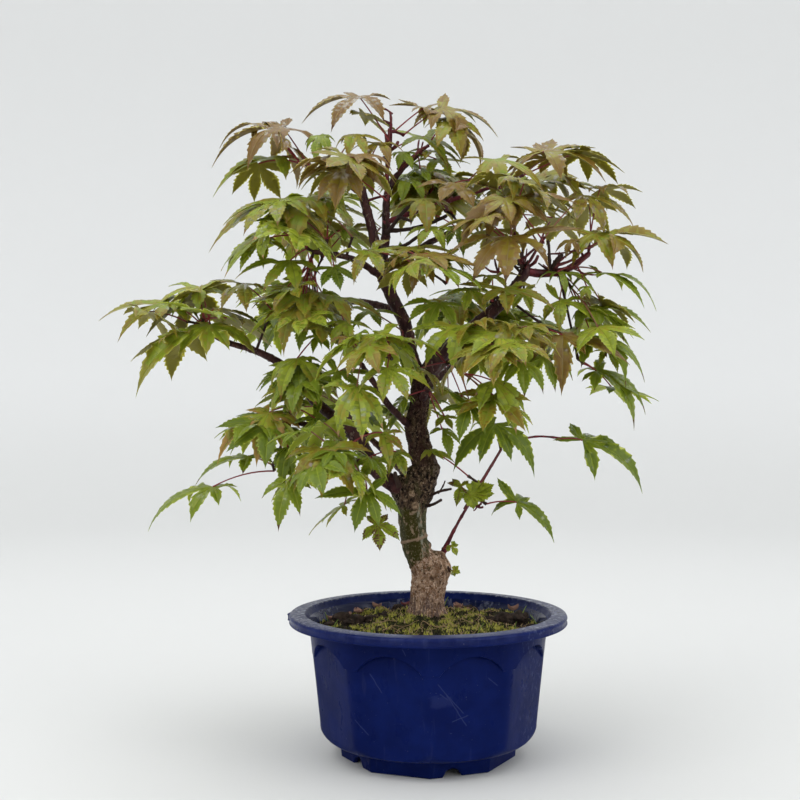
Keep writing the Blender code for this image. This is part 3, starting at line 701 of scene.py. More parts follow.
def make_trunk_bark():
    material = plain_material("trunk_bark", (0.12, 0.09, 0.06), 0.8, sheen_level=0.1)
    tree = material.node_tree
    # pale, pinkish, grainy bark at the foot and on the burr, streaked just above the ground
    pale = mix_colour(tree, bark_pattern(tree, 0.36, 0.64, 0.6, 560), (0.190, 0.095, 0.050),
                      (0.460, 0.310, 0.210))
    pale = stain(tree, pale, bark_pattern(tree, 0.50, 0.64, 0.9, 980), 0.75, (0.700, 0.540, 0.430))
    pale = stain(tree, pale, bark_pattern(tree, 0.50, 0.62, 0.6, 240), 0.65, (0.110, 0.052, 0.024))
    pale = stain(tree, pale, bark_pattern(tree, 0.55, 0.61, 0.5, 700), 0.85, (0.040, 0.021, 0.013))
    foot = times(tree, opposite(tree, zone(tree, 80, 88, 6)), bark_pattern(tree, 0.44, 0.56, 0.12, 760))
    pale = stain(tree, pale, foot, 0.85, (0.090, 0.062, 0.058))
    knots = times(tree, zone(tree, 96, 99, 5), patches(tree, 210, 0.54, 0.62, (1, 1, 1.6), 5.0))
    pale = stain(tree, pale, knots, 0.85, (0.060, 0.044, 0.020))
    # smooth green bark: greyish brown flecked with tan at the sides, dark olive in front, with a painted
    # sheen streak to its right
    green = mix_colour(tree, patches(tree, 330, 0.42, 0.60, (1, 1, 0.25), 4.0), (0.046, 0.044, 0.018),
                       (0.085, 0.080, 0.032))
    olive = band(tree, (2.8, 4.4), (9.6, 11.2), 3.0, (1, 0, 0.13))
    green = stain(tree, green, olive, 0.95, (0.038, 0.033, 0.004))
    # painted sheen: a pale grey streak, flecked, painted down the bark to the right of the olive
    painted_sheen = band(tree, (10.4, 11.0), (12.0, 13.0), 2.0, (1, 0, 0.13))
    painted_sheen = times(tree, painted_sheen, patches(tree, 620, 0.46, 0.58, (1, 1, 0.4), 4.0))
    green = stain(tree, green, painted_sheen, 0.8, (0.300, 0.290, 0.225))
    green = stain(tree, green, patches(tree, 480, 0.56, 0.61, (1, 1, 0.6)), 0.85, (0.300, 0.210, 0.140))
    green = stain(tree, green, patches(tree, 1100, 0.58, 0.64), 0.7, (0.200, 0.180, 0.110))
    # dark, grainy bark above, redder up the stem and mossier on the knob
    dark = mix_colour(tree, bark_pattern(tree, 0.42, 0.60, 0.6, 660), (0.009, 0.005, 0.004),
                      (0.110, 0.070, 0.044))
    dark = stain(tree, dark, bark_pattern(tree, 0.56, 0.62, 0.7, 950), 0.85, (0.300, 0.215, 0.145))
    stem = times(tree, zone(tree, 150, 156, 6), patches(tree, 160, 0.36, 0.56, (1, 1, 0.22), 4.0))
    dark = stain(tree, dark, stem, 0.75, (0.036, 0.012, 0.012))
    dark = stain(tree, dark, patches(tree, 130, 0.50, 0.66, (1, 1, 0.5)), 0.55, (0.048, 0.046, 0.014))
    side = times(tree, zone(tree, 2.2, 3.6, 2.0, (1, 0, 0)), patches(tree, 620, 0.44, 0.58, (1, 1, 0.5)))
    dark = stain(tree, dark, side, 0.6, (0.190, 0.145, 0.120))
    # the foot's pale bark runs up to the right over the burr; the wire's scar is tan
    colour = mix_colour(tree, zone(tree, 107.0, 110.5, 14, (-1, 0, 1)), pale, green)
    scar = band(tree, (114.9, 115.4), (116.2, 116.9), 2.2, (-0.27, 0, 1))
    colour = stain(tree, colour, scar, 0.8, (0.300, 0.205, 0.140))
    colour = mix_colour(tree, zone(tree, 129.0, 132.0, 16), colour, dark)
    rough = spread(tree, bark_pattern(tree, 0.3, 0.7, 0.4), 0.55, 0.88)
    finish_surface(material, colour, rough)
    add_relief(tree, bark_pattern(tree, 0.3, 0.65, 0.35, 700), 0.6, 0.5)
    return material


def make_nodule_bark():
    material = plain_material("nodule_bark", (0.2, 0.13, 0.08), 0.8)
    tree = material.node_tree
    tan = mix_colour(tree, patches(tree, 600, 0.4, 0.6, detail=6.0), (0.110, 0.068, 0.040),
                     (0.36, 0.25, 0.16))
    finish_surface(material, tan, spread(tree, patches(tree, 500, 0.3, 0.7), 0.6, 0.9))
    add_relief(tree, patches(tree, 900, 0.3, 0.7), 0.5, 0.4)
    return material


# healed buds on the front of the knob: middle (x, y, z) and size
NODULES = (((-8.4, -6.2, 139), 1.9), ((-6.9, -5.4, 132.4), 2.1), ((-11.6, -4.6, 135.6), 1.2),
           ((-3.4, -5.4, 144), 1.2))


def lump_solid(middle, size, flat, seed):
    """An uneven lump, such as a healed bud or a clod of earth."""
    bm = bmesh.new()
    bmesh.ops.create_icosphere(bm, subdivisions=3, radius=1)
    shift = Vector((seed * 3.7, seed * 1.9, 0))
    points = []
    for vertex in bm.verts:
        grow = 1 + 0.35 * noise.noise(vertex.co * 1.6 + shift)
        grow += 0.18 * noise.noise(vertex.co * 5 + shift)
        x, y, z = vertex.co * grow * size
        points.append((middle[0] + x, middle[1] + y, middle[2] + z * flat))
    faces = [tuple(vertex.index for vertex in face.verts) for face in bm.faces]
    bm.free()
    return points, faces


def make_trunk():
    stations = smooth_route(TRUNK_ROUTE, TRUNK_STEP)
    centres, radii = stations[:, :3], stations[:, 3] / 2
    rings, outward = tube_rings(centres, radii, TRUNK_SIDES)
    for ring, out, centre in zip(rings, outward, centres):
        for number, point in enumerate(ring):
            push = trunk_relief(point) + root_flare(point, centre)
            ring[number] = point + out[number] * push
    rings[:, :, 2] = np.maximum(rings[:, :, 2], SOIL_TOP - 0.4)
    parts = [capped_tube(rings)]
    parts += [lump_solid(middle, size, 1.0, number)
              for number, (middle, size) in enumerate(NODULES)]
    points, faces = join_parts(parts)
    stem_faces = len(parts[0][1])
    tints = [0] * stem_faces + [1] * (len(faces) - stem_faces)
    materials = [make_trunk_bark(), make_nodule_bark()]
    trunk = turn_outward(make_mesh("trunk_bark", points, faces, materials, tints))
    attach(trunk, "root")
    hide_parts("trunk")


make_trunk()


# ---- Boughs ----------------------------------------------------------------------------------
# Older boughs have smooth dark red-brown bark with ring scars where leaf pairs once stood.
# This year's shoots are bright dark red. Each one runs on into the limb that it grows from.
RED_LIMBS = ("apex_shoot", "bough_shoulder_left", "bough_upper_right", "bough_right_tip",
             "whip_shoot", "whip_stalk")


def read_rows(table):
    """A table's rows, a line each, of names, single numbers, and points written with commas."""
    def read(word):
        if word[0].isalpha():
            return word
        return tuple(map(float, word.split(","))) if "," in word else float(word)
    return [[read(word) for word in line.split()] for line in table.strip().splitlines()]


# each limb from root to tip, in x, y, z and thickness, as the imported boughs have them
LIMBS = {name: route for name, *route in read_rows("""
    leader -5,4,200,7.6 -9.4,4,214,7 -12.3,4,229,6.6 -20,2,245,6.6 -25.6,0,259,7.6
    leader_left_arm -24.4,0.2,254,4.6 -29.4,-3,277,5 -33.2,-5,291,4.6 -35.4,-6,301,4.2
    leader_right_arm -25.2,1,256,5 -22.6,4,277,4.6 -22.6,5,291,4 -20.8,6,303,3.4 -13.4,9,314,2.6 \
        -4.8,11,322,2.2
    apex_shoot -22,5,299,2.6 -22,2,311,2.4 -20.3,0,325,2 -19.8,-1,336,1.7
    bough_shoulder_left -34.8,-6,297,2.8 -46,-8,304,2.4 -61,-8,309,1.9
    bough_upper_left -24.6,0,254,3.8 -37.4,-6,262,3.4 -47,-10,264.5,2.8 -60,-14,266,2.2
    bough_upper_right -22.6,4,284,3 -6,10,291,2.8 14,14,298,2.4 36,14,305,2
    bough_right -2,3,201,8.8 6,1,212,8.4 17.6,-2,222,7.6 35.3,-6,236.5,6.4 48.7,-5,252,5.6 52,-4,259,5.4
    bough_right_tip 51,-4,257,4.4 61,-2,256,4.2 73.8,0,258,3.6 86,2,266.5,3
    bough_left_low -10,3,139,9.4 -20,-1,144.5,8.6 -27.8,-6,152,8 -40.6,-14,173,7.6 -44.4,-16,179,7.8
    bough_left_long -38,-12,169,5.6 -47,-2,177,5.6 -56.7,4,184,5.4 -63.6,6,191,5 -70.6,5,201,4.6
    bough_left_end -69.6,5.2,199,4.4 -79,3,207.7,4.2 -92,0,214.6,3.6 -109,-3,220,2.8 -122,-5,228.5,2.4
    bough_centre_left -6.4,3,171,3.8 -20.3,-8,185,3.4 -27,-14,195,3 -35,-22,207,2.4
    bough_front -4,2,188,4 2,-16,197,3.6 12,-40,206,2.4
    bough_low_front -28,-6,153,3.8 -33,-26,156,3.2 -42,-44,160,2.4
    bough_low_left -39,-13,170,3.6 -54,-16,174,3 -72,-16,177,2.2
    bough_back_low -6.6,4,142,4.4 -22,26,158,3.8 -38,48,172,2.6
    bough_back_right -1,4,199,5 15,26,214,4.4 38,52,228,2.8
    bough_back_left -15,3,236,4.2 -38,26,243,3.6 -62,48,243,2.6
    bough_back_top -24.4,1,257,4 -2,26,274,3.4 28,46,292,2.4
    whip_shoot 7,3,104,3 14,0,119,1.7 21.4,-3,132.5,1.45 38.5,-6,162,1.35
    whip_stalk 44,-6,166,1.2 58,-4,169,1.1 76,-2,167.5,1.1
    """)}
limb_stations = {name: smooth_route(route, 1.0) for name, route in LIMBS.items()}


def bough_relief(point, along, thickness):
    """Fine cracks and lumps on a bough, with a ring scar every so often along it."""
    size = min(1.0, thickness / 6.0)
    out = 0.42 * size * lumps(point, 4.0) + 0.22 * size * ridged(point, 1.5, 2.5)
    spacing = 9.0 + 1.2 * thickness
    scar = (along + 2.0 * lumps(point, 9.0)) % spacing - spacing / 2
    return out + (0.10 + 0.30 * size) * math.exp(-(scar / (0.7 + 0.3 * size)) ** 2)


def bark_limb(stations, sides):
    """A closed limb with relief, run back into its parent and rounded off at the tip."""
    stations = np.asarray(stations)
    back = stations[0] + (stations[0] - stations[1]) * 1.6
    tip = stations[-1].copy()
    tip[:3] += unit(stations[-1][:3] - stations[-2][:3]) * tip[3] * 0.35
    tip[3] *= 0.55
    stations = np.vstack([back, stations, tip])
    centres, radii = stations[:, :3], stations[:, 3] / 2
    rings, outward = tube_rings(centres, radii, sides)
    along = np.concatenate([[0], np.cumsum(np.linalg.norm(np.diff(centres, axis=0), axis=1))])
    for ring, out, distance, radius in zip(rings, outward, along, radii):
        for number, point in enumerate(ring):
            ring[number] = point + out[number] * bough_relief(point, distance, 2 * radius)
    return capped_tube(rings)


def make_old_wood():
    material = plain_material("old_wood", (0.04, 0.022, 0.016), 0.6)
    tree = material.node_tree
    skin = mix_colour(tree, patches(tree, 330, 0.36, 0.66, (1, 1, 0.35), 5.0),
                      (0.024, 0.006, 0.008), (0.074, 0.026, 0.024))
    skin = stain(tree, skin, patches(tree, 640, 0.585, 0.66, (1, 1, 0.4)), 0.7, (0.21, 0.155, 0.115))
    skin = stain(tree, skin, patches(tree, 150, 0.56, 0.7), 0.5, (0.055, 0.052, 0.020))
    finish_surface(material, skin, spread(tree, patches(tree, 300, 0.3, 0.7), 0.42, 0.75))
    add_relief(tree, patches(tree, 800, 0.3, 0.7, (1, 1, 0.5)), 0.4, 0.3)
    return material


def make_red_wood():
    material = plain_material("red_wood", (0.10, 0.02, 0.02), 0.42)
    tree = material.node_tree
    skin = mix_colour(tree, patches(tree, 260, 0.38, 0.62, (1, 1, 0.5)), (0.060, 0.008, 0.014),
                      (0.160, 0.022, 0.030))
    skin = stain(tree, skin, patches(tree, 800, 0.60, 0.68), 0.5, (0.24, 0.10, 0.08))
    finish_surface(material, skin, spread(tree, patches(tree, 300, 0.3, 0.7), 0.30, 0.52))
    add_relief(tree, patches(tree, 900, 0.3, 0.7), 0.2, 0.2)
    return material


def make_limbs(piece_name, names, material):
    parts = []
    for name in names:
        thickest = max(point[3] for point in LIMBS[name])
        parts.append(bark_limb(limb_stations[name], 22 if thickest > 5 else 14))
    points, faces = join_parts(parts)
    limbs = turn_outward(make_mesh(piece_name, points, faces, [material]))
    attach(limbs, "root")
    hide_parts(*names)


make_limbs("old_boughs", [name for name in LIMBS if name not in RED_LIMBS], make_old_wood())
make_limbs("red_shoots", RED_LIMBS, make_red_wood())


# ---- Soil ------------------------------------------------------------------------------------
# Dark potting earth, heaped towards the trunk and mostly grown over with cushions of moss.
# Clods, dead leaves, fine roots and a few blades of grass lie and stand in it.
POT_INSIDE = 61.0                 # the wall's inner radius at the soil line
SOIL_RINGS, SOIL_COLUMNS = 64, 192
# radius and height of the earth's hidden sides, down to the floor of the pot
SOIL_SIDES = ((60.3, 64.5), (57.4, 62.0), (45.0, FLOOR_UPPER + 0.5))
MOSS_SPIKES = 13000
soil_rng = random.Random(11)

# middle (x, y) of each bare or raised place, how far it spreads, how far it stands up
MOUNDS = (((42, 22), 11, 3.4), ((20, 12), 13, 1.6), ((-24, -22), 14, 1.0), ((-30, 26), 10, 2.2),
          ((12, -30), 16, 1.2), ((-48, -6), 9, 1.4), ((30, -10), 12, 1.0), ((0, 40), 14, 2.0),
          ((-8, -12), 9, 1.2))
BARE_PLACES = (((-45, 2), 11), ((-34, 6), 8), ((48, 0), 9), ((40, 8), 8), ((-20, 44), 12),
               ((30, 46), 10), ((56, -12), 7))


def near(x, y, middle, reach):
    return math.exp(-((x - middle[0]) ** 2 + (y - middle[1]) ** 2) / reach ** 2)


def soil_height(x, y):
    """The heap's own curve, with mounds and crumbs on it."""
    radius = math.hypot(x, y)
    inner = POT_INSIDE - SOIL_FLAT
    share = min(1.0, max(0.0, (radius - SOIL_FLAT) / inner))
    height = SOIL_EDGE + (SOIL_TOP - SOIL_EDGE) * (1 - share) ** 1.6 - 0.5
    height += sum(rise * near(x, y, middle, reach) for middle, reach, rise in MOUNDS)
    place_on = Vector((x, y, 0))
    height += 2.2 * noise.noise(place_on / 7.5) + 1.5 * noise.noise(place_on / 3.0)
    height += 0.7 * noise.noise(place_on / 1.3)
    return height - 1.2 * share ** 6


def moss_share(x, y):
    """How mossy the ground is: 0 on bare earth, 1 in a thick cushion."""
    bare = sum(near(x, y, middle, reach) for middle, reach in BARE_PLACES)
    cover = 0.75 + 0.7 * noise.noise(Vector((x / 9, y / 9, 4.0))) - 1.1 * bare
    return min(1.0, max(0.0, cover))


def make_earth(name, dark, light):
    material = plain_material(name, dark, 0.95)
    tree = material.node_tree
    crumbs = mix_colour(tree, patches(tree, 420, 0.38, 0.66, detail=6.0), dark, light)
    crumbs = stain(tree, crumbs, patches(tree, 1100, 0.62, 0.7), 0.7,
                   [min(1.0, 2.6 * part + 0.03) for part in light])
    finish_surface(material, crumbs, spread(tree, patches(tree, 500, 0.3, 0.7), 0.8, 1.0))
    add_relief(tree, patches(tree, 900, 0.3, 0.7, detail=6.0), 0.8, 0.6)
    return material


def make_soil_surface():
    """The heap's surface and, below its edge, the hidden sides of a solid plug of earth."""
    rings = [(POT_INSIDE * (ring / SOIL_RINGS) ** 0.85, None) for ring in range(SOIL_RINGS + 1)]
    rings += SOIL_SIDES
    points = []
    for radius, height in rings:
        for column in range(SOIL_COLUMNS):
            x, y = round_axis(radius, math.tau * column / SOIL_COLUMNS)
            points.append((x, y, soil_height(x, y) if height is None else height))
    faces = quads_between(len(rings), SOIL_COLUMNS)
    tints = [0] * len(faces)
    for number, face in enumerate(faces[:SOIL_RINGS * SOIL_COLUMNS]):
        x, y, _ = points[face[0]]
        mossy = moss_share(x, y) + soil_rng.uniform(-0.2, 0.2)
        tints[number] = 1 if mossy > 0.45 else 0
    faces.append(tuple(range(len(points) - SOIL_COLUMNS, len(points))))
    tints.append(0)
    materials = [make_earth("dark_earth", (0.016, 0.011, 0.008), (0.055, 0.038, 0.026)),
                 make_earth("mossy_earth", (0.016, 0.015, 0.006), (0.055, 0.055, 0.016))]
    soil = turn_outward(make_mesh("earth", points, faces, materials, tints, sharp=math.pi))
    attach(soil, "root")
    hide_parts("soil")


def spike(foot, lean, height, width):
    """A closed four-faced spike of moss or a crumb of peat."""
    turn = soil_rng.uniform(0, math.tau)
    points = [(*round_axis(width, turn + corner * math.tau / 3, foot), foot[2] - 0.3)
              for corner in range(3)]
    points.append((foot[0] + lean[0], foot[1] + lean[1], foot[2] + height))
    return points, [(0, 2, 1), (0, 1, 3), (1, 2, 3), (2, 0, 3)]


def make_moss():
    """Thousands of short shoots, in cushions of brighter and duller green; the taller shoots are painted
    brighter and the lower ones darker, partly as painted light on the cushions' tops and painted shade
    between them.
    """
    parts, tints = [], []
    while len(parts) < MOSS_SPIKES:
        radius = (POT_INSIDE - 1.0) * math.sqrt(soil_rng.random())
        x, y = round_axis(radius, soil_rng.uniform(0, math.tau))
        thick = moss_share(x, y)
        if soil_rng.random() > thick + 0.12:
            continue
        lean = (soil_rng.gauss(0, 0.7), soil_rng.gauss(0, 0.7))
        height = soil_rng.uniform(0.35, 0.9) + 0.9 * thick * soil_rng.random()
        cushion = noise.noise(Vector((x / 7, y / 7, 9.0))) + soil_rng.uniform(-0.22, 0.22)
        cushion += 0.7 * noise.noise(Vector((x / 2.4, y / 2.4, 2.0)))
        height *= max(0.5, 1 + 1.2 * cushion)
        parts.append(spike((x, y, soil_height(x, y)), lean, height, soil_rng.uniform(0.3, 0.65)))
        # painted light and shade: the tallest shoots wear the brightest green and the lower ones dark
        # green, partly as light on the cushions' tops and shade in the gaps
        tint = 0 if cushion > 0.22 else 1 if cushion > 0.02 else 2 if cushion > -0.22 else 4
        if thick < 0.25 or soil_rng.random() < 0.12:
            tint = 3
        tints += [tint] * 4
    points, faces = join_parts(parts)
    materials = [plain_material("moss_bright_and_highlight", (0.400, 0.380, 0.075), 0.85),
                 plain_material("moss_green", (0.155, 0.165, 0.030), 0.85),
                 plain_material("moss_dark_and_shade", (0.026, 0.032, 0.009), 0.9),
                 plain_material("moss_dry", (0.380, 0.280, 0.150), 0.9),
                 plain_material("moss_peat", (0.014, 0.009, 0.006), 0.95)]
    moss = make_mesh("moss", points, faces, materials, tints)
    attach(moss, "root")


def thin_rod(route, thickness):
    """A closed round rod through (x, y, z) points, tapering to its tip."""
    with_size = [(*point, thickness * (1 - 0.5 * number / (len(route) - 1)))
                 for number, point in enumerate(route)]
    stations = smooth_route(with_size, 1.5)
    rings, _ = tube_rings(stations[:, :3], stations[:, 3] / 2, ROD_SIDES, (0.3, 0.2, 1.0))
    return capped_tube(rings)


def curled_scrap(middle, length, width, turn, curl):
    """A dead leaf: a thin closed sheet, curled along its length."""
    columns, rows = 7, 4
    points = []
    for side in (0.15, -0.15):
        for row in range(rows):
            v = row / (rows - 1) * 2 - 1
            for column in range(columns):
                u = column / (columns - 1) * 2 - 1
                half = width / 2 * math.sqrt(max(0.04, 1 - u * u))
                x, y = u * length / 2, v * half
                z = curl * (u * u * length / 3 + v * v * width / 2) + side
                points.append((middle[0] + x * math.cos(turn) - y * math.sin(turn),
                               middle[1] + x * math.sin(turn) + y * math.cos(turn), middle[2] + z))
    faces, sheet = [], rows * columns
    for row in range(rows - 1):
        for column in range(columns - 1):
            a = row * columns + column
            faces.append((a, a + 1, a + 1 + columns, a + columns))
            faces.append((sheet + a, sheet + a + columns, sheet + a + 1 + columns, sheet + a + 1))
    border = list(range(columns))
    border += [row * columns + columns - 1 for row in range(1, rows)]
    border += [(rows - 1) * columns + column for column in range(columns - 2, -1, -1)]
    border += [row * columns for row in range(rows - 2, 0, -1)]
    for a, b in zip(border, border[1:] + border[:1]):
        faces.append((a, sheet + a, sheet + b, b))
    return points, faces


# where each clod lies (x, y) and its size; each dead leaf's x, y, length, width and turn; and
# each blade of grass's x, y and height
CLODS = ((-46, 6, 5.2), (-38, 1, 4.6), (-31, 3, 4.0), (-52, -2, 3.4), (-24, 8, 3.0), (-42, -8, 3.0),
         (41, 4, 5.0), (49, 6, 5.6), (35, 0, 3.2), (55, -4, 3.4), (-16, 45, 4.0), (24, 44, 4.6),
         (4, 52, 3.6), (-38, 36, 3.4))
DEAD_LEAVES = ((-52, 14, 7, 5, 0.4), (-38, 24, 9, 5, 1.9), (-28, 32, 6, 4, 2.6), (-12, 42, 5, 4, 0.3),
               (22, 34, 8, 5, 1.0), (18, 38, 6, 5, 2.2), (-44, 20, 6, 4, 0.9), (-2, 50, 6, 4, 2.9),
               (48, 26, 6, 4, 0.2), (-8, 22, 5, 3, 1.1))
GRASS = ((9, 24, 9), (24, -36, 8), (44, -22, 7), (50, 6, 10), (-50, -12, 6), (-54, 12, 8),
         (58, -6, 9), (-30, -34, 5))
ROOT_COUNT, ROD_SIDES = 64, 5


def make_litter():
    """Clods, dead leaves, roots and grass, each with its own plain tint."""
    parts, tints = [], []

    def add(part, tint):
        parts.append(part)
        tints.extend([tint] * len(part[1]))

    for number, (x, y, size) in enumerate(CLODS):
        add(lump_solid((x, y, soil_height(x, y) + size * 0.25), size, 0.75, number), 0)
    for x, y, length, width, turn in DEAD_LEAVES:
        lift = soil_height(x, y) + 1.6
        add(curled_scrap((x, y, lift), length, width, turn, soil_rng.uniform(0.3, 0.9)),
            soil_rng.choice((1, 1, 4)))
    for _ in range(ROOT_COUNT):
        x, y = round_axis(soil_rng.uniform(14, 56), soil_rng.uniform(0, math.tau))
        heading, route = soil_rng.uniform(0, math.tau), []
        for _ in range(5):
            route.append((x, y, soil_height(x, y) + soil_rng.uniform(0.4, 2.0)))
            heading += soil_rng.gauss(0, 0.7)
            x, y = round_axis(3.0, heading, (x, y))
            if math.hypot(x, y) > POT_INSIDE - 2:
                break
        if len(route) > 2:
            add(thin_rod(route, 0.42), 2)
    for x, y, height in GRASS:
        lean = soil_rng.uniform(-0.5, 0.5)
        route = [(x + lean * height * t * t, y - 0.15 * height * t, soil_height(x, y) - 0.5 + height * t)
                 for t in (0, 0.35, 0.7, 1.0)]
        add(thin_rod(route, 0.75), 3)
    points, faces = join_parts(parts)
    materials = [make_earth("clod_earth", (0.014, 0.009, 0.007), (0.050, 0.032, 0.023)),
                 plain_material("dead_leaf", (0.30, 0.17, 0.13), 0.75),
                 plain_material("root_fibre", (0.33, 0.22, 0.12), 0.8),
                 plain_material("grass", (0.17, 0.25, 0.05), 0.6),
                 plain_material("dead_leaf_red", (0.16, 0.05, 0.055), 0.75)]
    litter = turn_outward(make_mesh("litter", points, faces, materials, tints))
    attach(litter, "root")


make_soil_surface()
make_moss()
make_litter()


# ---- Leaves ----------------------------------------------------------------------------------
# Palmate leaves of five to nine long, saw-edged lobes that droop to drawn-out tips. They are
# wet, fresh green inside the crown, and turning olive and bronze on top, where autumn starts.
LEAF_THICKNESS = 0.30
PALM_SHARE = 0.27                 # how far out the lobes stay joined
PALM_STEPS, LOBE_STEPS = 3, 17    # stations along a lobe, inside the palm and beyond it
LOBE_WIDTH = 0.158                # half the width of a lobe, as a share of its length
RIB_WIDTH, RIB_DEPTH = 0.24, 0.10  # half the width of the pale midrib, and how far it is sunk
TOOTH = 0.11                      # how far a tooth stands out of the margin

# each tint's colour, its roughness and how wet it is
# the under tints are the leaves' paler undersides, painted brighter still as painted light shining through
# the blade
leaf_paint = {name: plain_material(name, colour, roughness, coat, sheen_level=0.16)
              for name, colour, roughness, coat in read_rows("""
    leaf_lime 0.249,0.294,0.023 0.36 0.1
    leaf_fresh 0.184,0.228,0.017 0.38 0.1
    leaf_green 0.144,0.191,0.013 0.4 0.1
    leaf_deep 0.112,0.156,0.012 0.44 0.1
    leaf_shade 0.092,0.131,0.016 0.5 0.04
    leaf_olive 0.213,0.198,0.021 0.36 0.12
    leaf_moss 0.167,0.158,0.017 0.38 0.12
    leaf_bronze 0.191,0.138,0.014 0.36 0.12
    leaf_copper 0.172,0.102,0.019 0.36 0.12
    leaf_russet 0.155,0.084,0.018 0.38 0.12
    leaf_rose 0.17,0.108,0.032 0.28 0.2
    leaf_yellow 0.255,0.235,0.025 0.4 0.1
    leaf_orange 0.29,0.175,0.045 0.45 0.08
    leaf_burnt 0.086,0.043,0.02 0.6 0.02
    leaf_tan 0.3,0.185,0.09 0.6 0.02
    under_green 0.313,0.362,0.039 0.55 0.05
    under_olive 0.215,0.19,0.032 0.55 0.05
    under_rose 0.205,0.135,0.036 0.55 0.05
    rib_green 0.19,0.215,0.025 0.45 0.15
    rib_tan 0.19,0.135,0.04 0.45 0.15
    wet_green 0.15,0.19,0.02 0.16 1
    wet_deep 0.07,0.105,0.012 0.16 1
    wet_olive 0.145,0.135,0.022 0.16 1
    wet_bronze 0.15,0.1,0.032 0.16 1
    wet_rose 0.21,0.14,0.1 0.14 1
    """)}
# a leaf lets some of the light through
for paint in leaf_paint.values():
    shader = paint.node_tree.nodes["Principled BSDF"]
    shader.inputs["Subsurface Weight"].default_value = 0.7
    shader.inputs["Subsurface Radius"].default_value = (1.0, 1.0, 0.4)
    shader.inputs["Subsurface Scale"].default_value = 0.8 * MILLIMETRE

# how a leaf is coloured: round the middle, most of it, towards the margin, at the tips,
# underneath, and along the midribs
DRESSES = {
    "lime": "leaf_yellow leaf_lime leaf_fresh leaf_tan under_green rib_green",
    "fresh": "leaf_lime leaf_fresh leaf_olive leaf_russet under_green rib_green",
    "green": "leaf_fresh leaf_green leaf_green leaf_burnt under_green rib_green",
    "deep": "leaf_green leaf_deep leaf_deep leaf_shade under_green leaf_fresh",
    "olive": "leaf_fresh leaf_olive leaf_bronze leaf_russet under_olive rib_green",
    "turning": "leaf_olive leaf_moss leaf_bronze leaf_russet under_olive rib_green",
    "bronze": "leaf_olive leaf_bronze leaf_copper leaf_burnt under_olive rib_tan",
    "copper": "leaf_bronze leaf_copper leaf_russet leaf_burnt under_rose rib_tan",
    "rose": "leaf_bronze leaf_rose leaf_copper leaf_russet under_rose rib_tan",
    "ruddy": "leaf_copper leaf_russet leaf_russet leaf_burnt under_rose rib_tan",
    "yellow": "leaf_lime leaf_yellow leaf_orange leaf_orange under_green rib_green",
    "dry": "leaf_lime leaf_fresh leaf_burnt leaf_burnt leaf_tan rib_tan",
}
DRESSES["young"] = DRESSES["lime"]
# the lobes of young and of withered leaves are broader than the rest
PLUMP = {"young": 2.3, "dry": 1.5}
# which wet film lies over each tint; the rose film is painted a paler grey-pink, a painted sheen
FILMS = {tint: film for film, tints in (
    ("wet_green", "leaf_lime leaf_fresh leaf_green leaf_yellow"), ("wet_deep", "leaf_deep"),
    ("wet_olive", "leaf_olive leaf_moss"), ("wet_bronze", "leaf_bronze leaf_copper leaf_russet"),
    ("wet_rose", "leaf_rose")) for tint in tints.split()}


def lobe_route(junction, tip, face, shares, arch):
    """A lobe's midrib: it leaves between the blade's plane and its tip, then bends down."""
    reach = tip - junction
    length = np.linalg.norm(reach)
    along = unit(reach - face * (reach @ face))
    leaving = unit(reach * (1 - arch) / length + along * arch)
    control = junction + leaving * (0.62 * length) + face * (0.07 * length)
    t = shares[:, None]
    return (1 - t) ** 2 * junction + 2 * t * (1 - t) * control + t * t * tip


def lobe_width(share):
    """Half the width of a lobe between the sinus (0) and the tip (1), at most 1."""
    return (1 - share) ** 1.7 * (0.58 + 4.4 * share) / 1.04


def blade_axes(face):
    """Two directions across a blade, so that east x north = face."""
    across = np.array([0.0, 0.0, 1.0]) if abs(face[2]) < 0.9 else np.array([0.0, 1.0, 0.0])
    east = unit(np.cross(across, face))
    return east, np.cross(face, east)


def heading_of(vector, face):
    """The angle of a direction seen against a blade's face."""
    east, north = blade_axes(face)
    flat = vector - face * (vector @ face)
    return math.atan2(flat @ north, flat @ east)


def across_blade(face, heading):
    """The direction across a blade at a heading."""
    east, north = blade_axes(face)
    return math.cos(heading) * east + math.sin(heading) * north


def lay_lobes(junction, tips, face, rng):
    """The lobes in order, each with its midrib, and the stations and directions along it."""
    tips = sorted(tips, key=lambda tip: heading_of(tip - junction, face))
    headings = [heading_of(tip - junction, face) for tip in tips]
    # the petiole comes in at the widest gap, so the lobes are counted from there
    gaps = [(headings[i] - headings[i - 1]) % math.tau for i in range(len(tips))]
    first = int(np.argmax(gaps))
    tips, headings = tips[first:] + tips[:first], headings[first:] + headings[:first]
    lengths = [np.linalg.norm(tip - junction) for tip in tips]
    lobes = []
    for number, (tip, length) in enumerate(zip(tips, lengths)):
        beside = lengths[max(0, number - 1):number + 2]
        sinus = min(0.45, PALM_SHARE * min(beside) / length + 0.04)
        count = max(6, round(LOBE_STEPS * length / max(lengths)))
        free = sinus + (1 - sinus) * (np.arange(1, count + 1) / count) ** 0.92
        shares = np.concatenate([np.arange(PALM_STEPS + 1) / PALM_STEPS * sinus, free])
        spine = lobe_route(junction, tip, face, shares, rng.uniform(0.60, 0.90))
        tangent = np.gradient(spine, axis=0)
        tangent /= np.linalg.norm(tangent, axis=1)[:, None] + 1e-9
        side = np.cross(face, across_blade(face, headings[number]))
        lobes.append(SimpleNamespace(length=length, sinus=sinus, shares=shares, spine=spine,
                                     tangent=tangent, side=side, normal=np.cross(tangent, side)))
    return lobes


